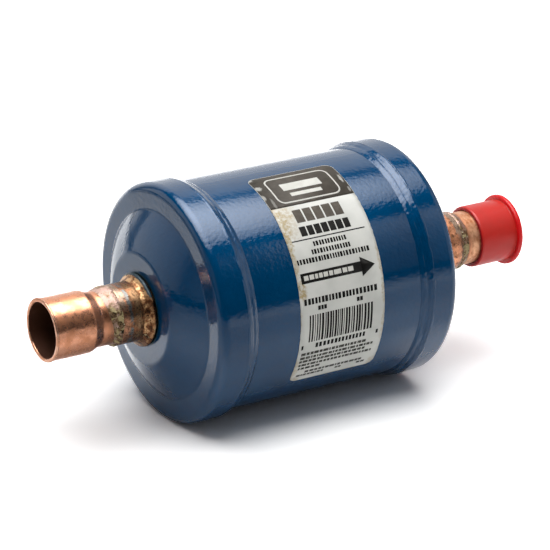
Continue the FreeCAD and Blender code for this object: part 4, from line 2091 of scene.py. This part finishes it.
def finishes() -> dict[str, Material]:
    """Makes every material of the drier.

    Returns:
        The materials, by the names that the pieces ask for.
    """
    kinds = {
        "blue_enamel": BlueEnamel(),
        "weld_enamel": BlueEnamel("weld_enamel", peel_depth=0.03, groove_depth=0.18),
        "socket_copper": DrawnCopper("copper_socket"),
        "lip_copper": DrawnCopper("copper_lip", clean="#E0AC90", bore=(7.0, 7.0)),
        "stub_copper": DrawnCopper(
            "copper_stub", clean="#E2AC86", cloud="#AC6C46", clouds=grain(1.5, 4.0, 0.6),
            heat_end=22.6, heat_reach=1.2, metal=0.7, bore=(7.48, 7.48), polish=(0.36, 0.5)),
        "inlet_collar": PlatedCollar("inlet_collar_tint"),
        "outlet_collar": PlatedCollar("outlet_collar_tint", metal=0.75, rings=(
            (9.6, "#6A452B"), (13.0, "#A8785A"), (15.6, "#C07C58"), (17.6, "#DE9A72"),
            (19.2, "#CE8460"), (19.7, "#4A3A2C"), (20.3, "#8C7B62"))),
        "fillet": BrazeAlloy(),
        "ring": BrazeAlloy("silver_braze", "#B4968A", "#7C6448", "#2A2418", "#A8966A",
                           flux_from=0.55, flux_run=0.1, polish=0.5, pit_depth=0.18),
        "soot": BrazeAlloy("soot_crumb", "#3A2A1A", "#1E150D", "#0E0A07", "#2A2118"),
        "flux": BrazeAlloy("flux_crumb", "#C4B898", "#9A8E6A", "#5E5640", "#CFC6A4",
                           flux_from=0.35, flux_run=0.0),
        "red_polyethylene": RedPolyethylene(),
        "label_paper": LabelPaper(),
        "header": PrintInk("header_ink", "#433E37", "#504A42", scuffs=(
            Mark(-12.4, 74.0, 1.2, 1.0, 0.9), Mark(-12.9, 67.0, 0.7, 1.1, 0.8),
            Mark(13.7, 70.0, 0.5, 2.0, 0.9), Mark(-12.8, 82.2, 1.2, 0.9, 0.8),
            Mark(-11.2, 62.0, 0.5, 2.4, 0.35), Mark(13.9, 62.0, 0.4, 1.2, 0.6))),
        "black": PrintInk("black_ink"),
        "small": PrintInk("small_print_ink", "#3A3834", "#55534E", rub_from=0.62),
        "grey": PrintInk("grey_ink", "#4C463E", "#5E574E"),
        "white": PrintInk("bare_white", "#DAD9D2", "#CFCEC6", rub_from=0.80),
        "spring_steel": PlainMetal("spring_steel", "#8A8B8C", "#5E6062",
                                   marks=grain(0.8, 3.0), gloss=0.3),
        "zinc_plate": PlainMetal("zinc_plate"),
        "wire_mesh": PlainMetal("wire_mesh", "#A9AAA8", "#6E706F",
                                marks=grain(0.3, 3.0), gloss=0.4),
        "filter_fibre": GranularFill("filter_fibre", "#E6E2D4", "#C9C3B0", 0.6, 0.1),
        "desiccant": GranularFill("desiccant"),
    }
    return {name: finish.build() for name, finish in kinds.items()}


def dress_nodes(materials: dict[str, Material]) -> None:
    """Gives every CAD node the material of its own, or else of its slot.

    Args:
        materials: The finishes by name.
    """
    own = {"inlet_fitting": "socket_copper", "outlet_fitting": "stub_copper",
           "inlet_collar": "inlet_collar", "outlet_collar": "outlet_collar",
           "inlet_collar_braze": "fillet", "outlet_collar_braze": "fillet",
           "inlet_tube_braze": "ring", "outlet_tube_braze": "ring"}
    slots = {row["node"]: row["material_slot"] for row in frame["record"]["subparts"]}
    for name, piece in frame["nodes"].items():
        material = materials[own.get(name, slots[name])]
        if piece.material_slots:
            for slot in piece.material_slots:
                slot.material = material
        else:
            piece.data.materials.append(material)
        LOG.info("%s: %s", name, material.name)


def main() -> None:
    """Builds every class in order."""
    logging.basicConfig(level=logging.INFO, format="%(message)s")
    materials = finishes()
    dress_nodes(materials)
    trees = {"skin": cast_skin_tree(), "crumbs": crumb_tree(), "wrap": wrap_tree(),
             "row": print_row_tree()}
    for part in (Shell(), Connection(Side.INLET),
                 Connection(Side.OUTLET, ring_short=0.1, ring_lean=0.1), SocketLip(), Label()):
        part.build(materials, trees)
    Studio().build()


if __name__ == "__main__":
    main()
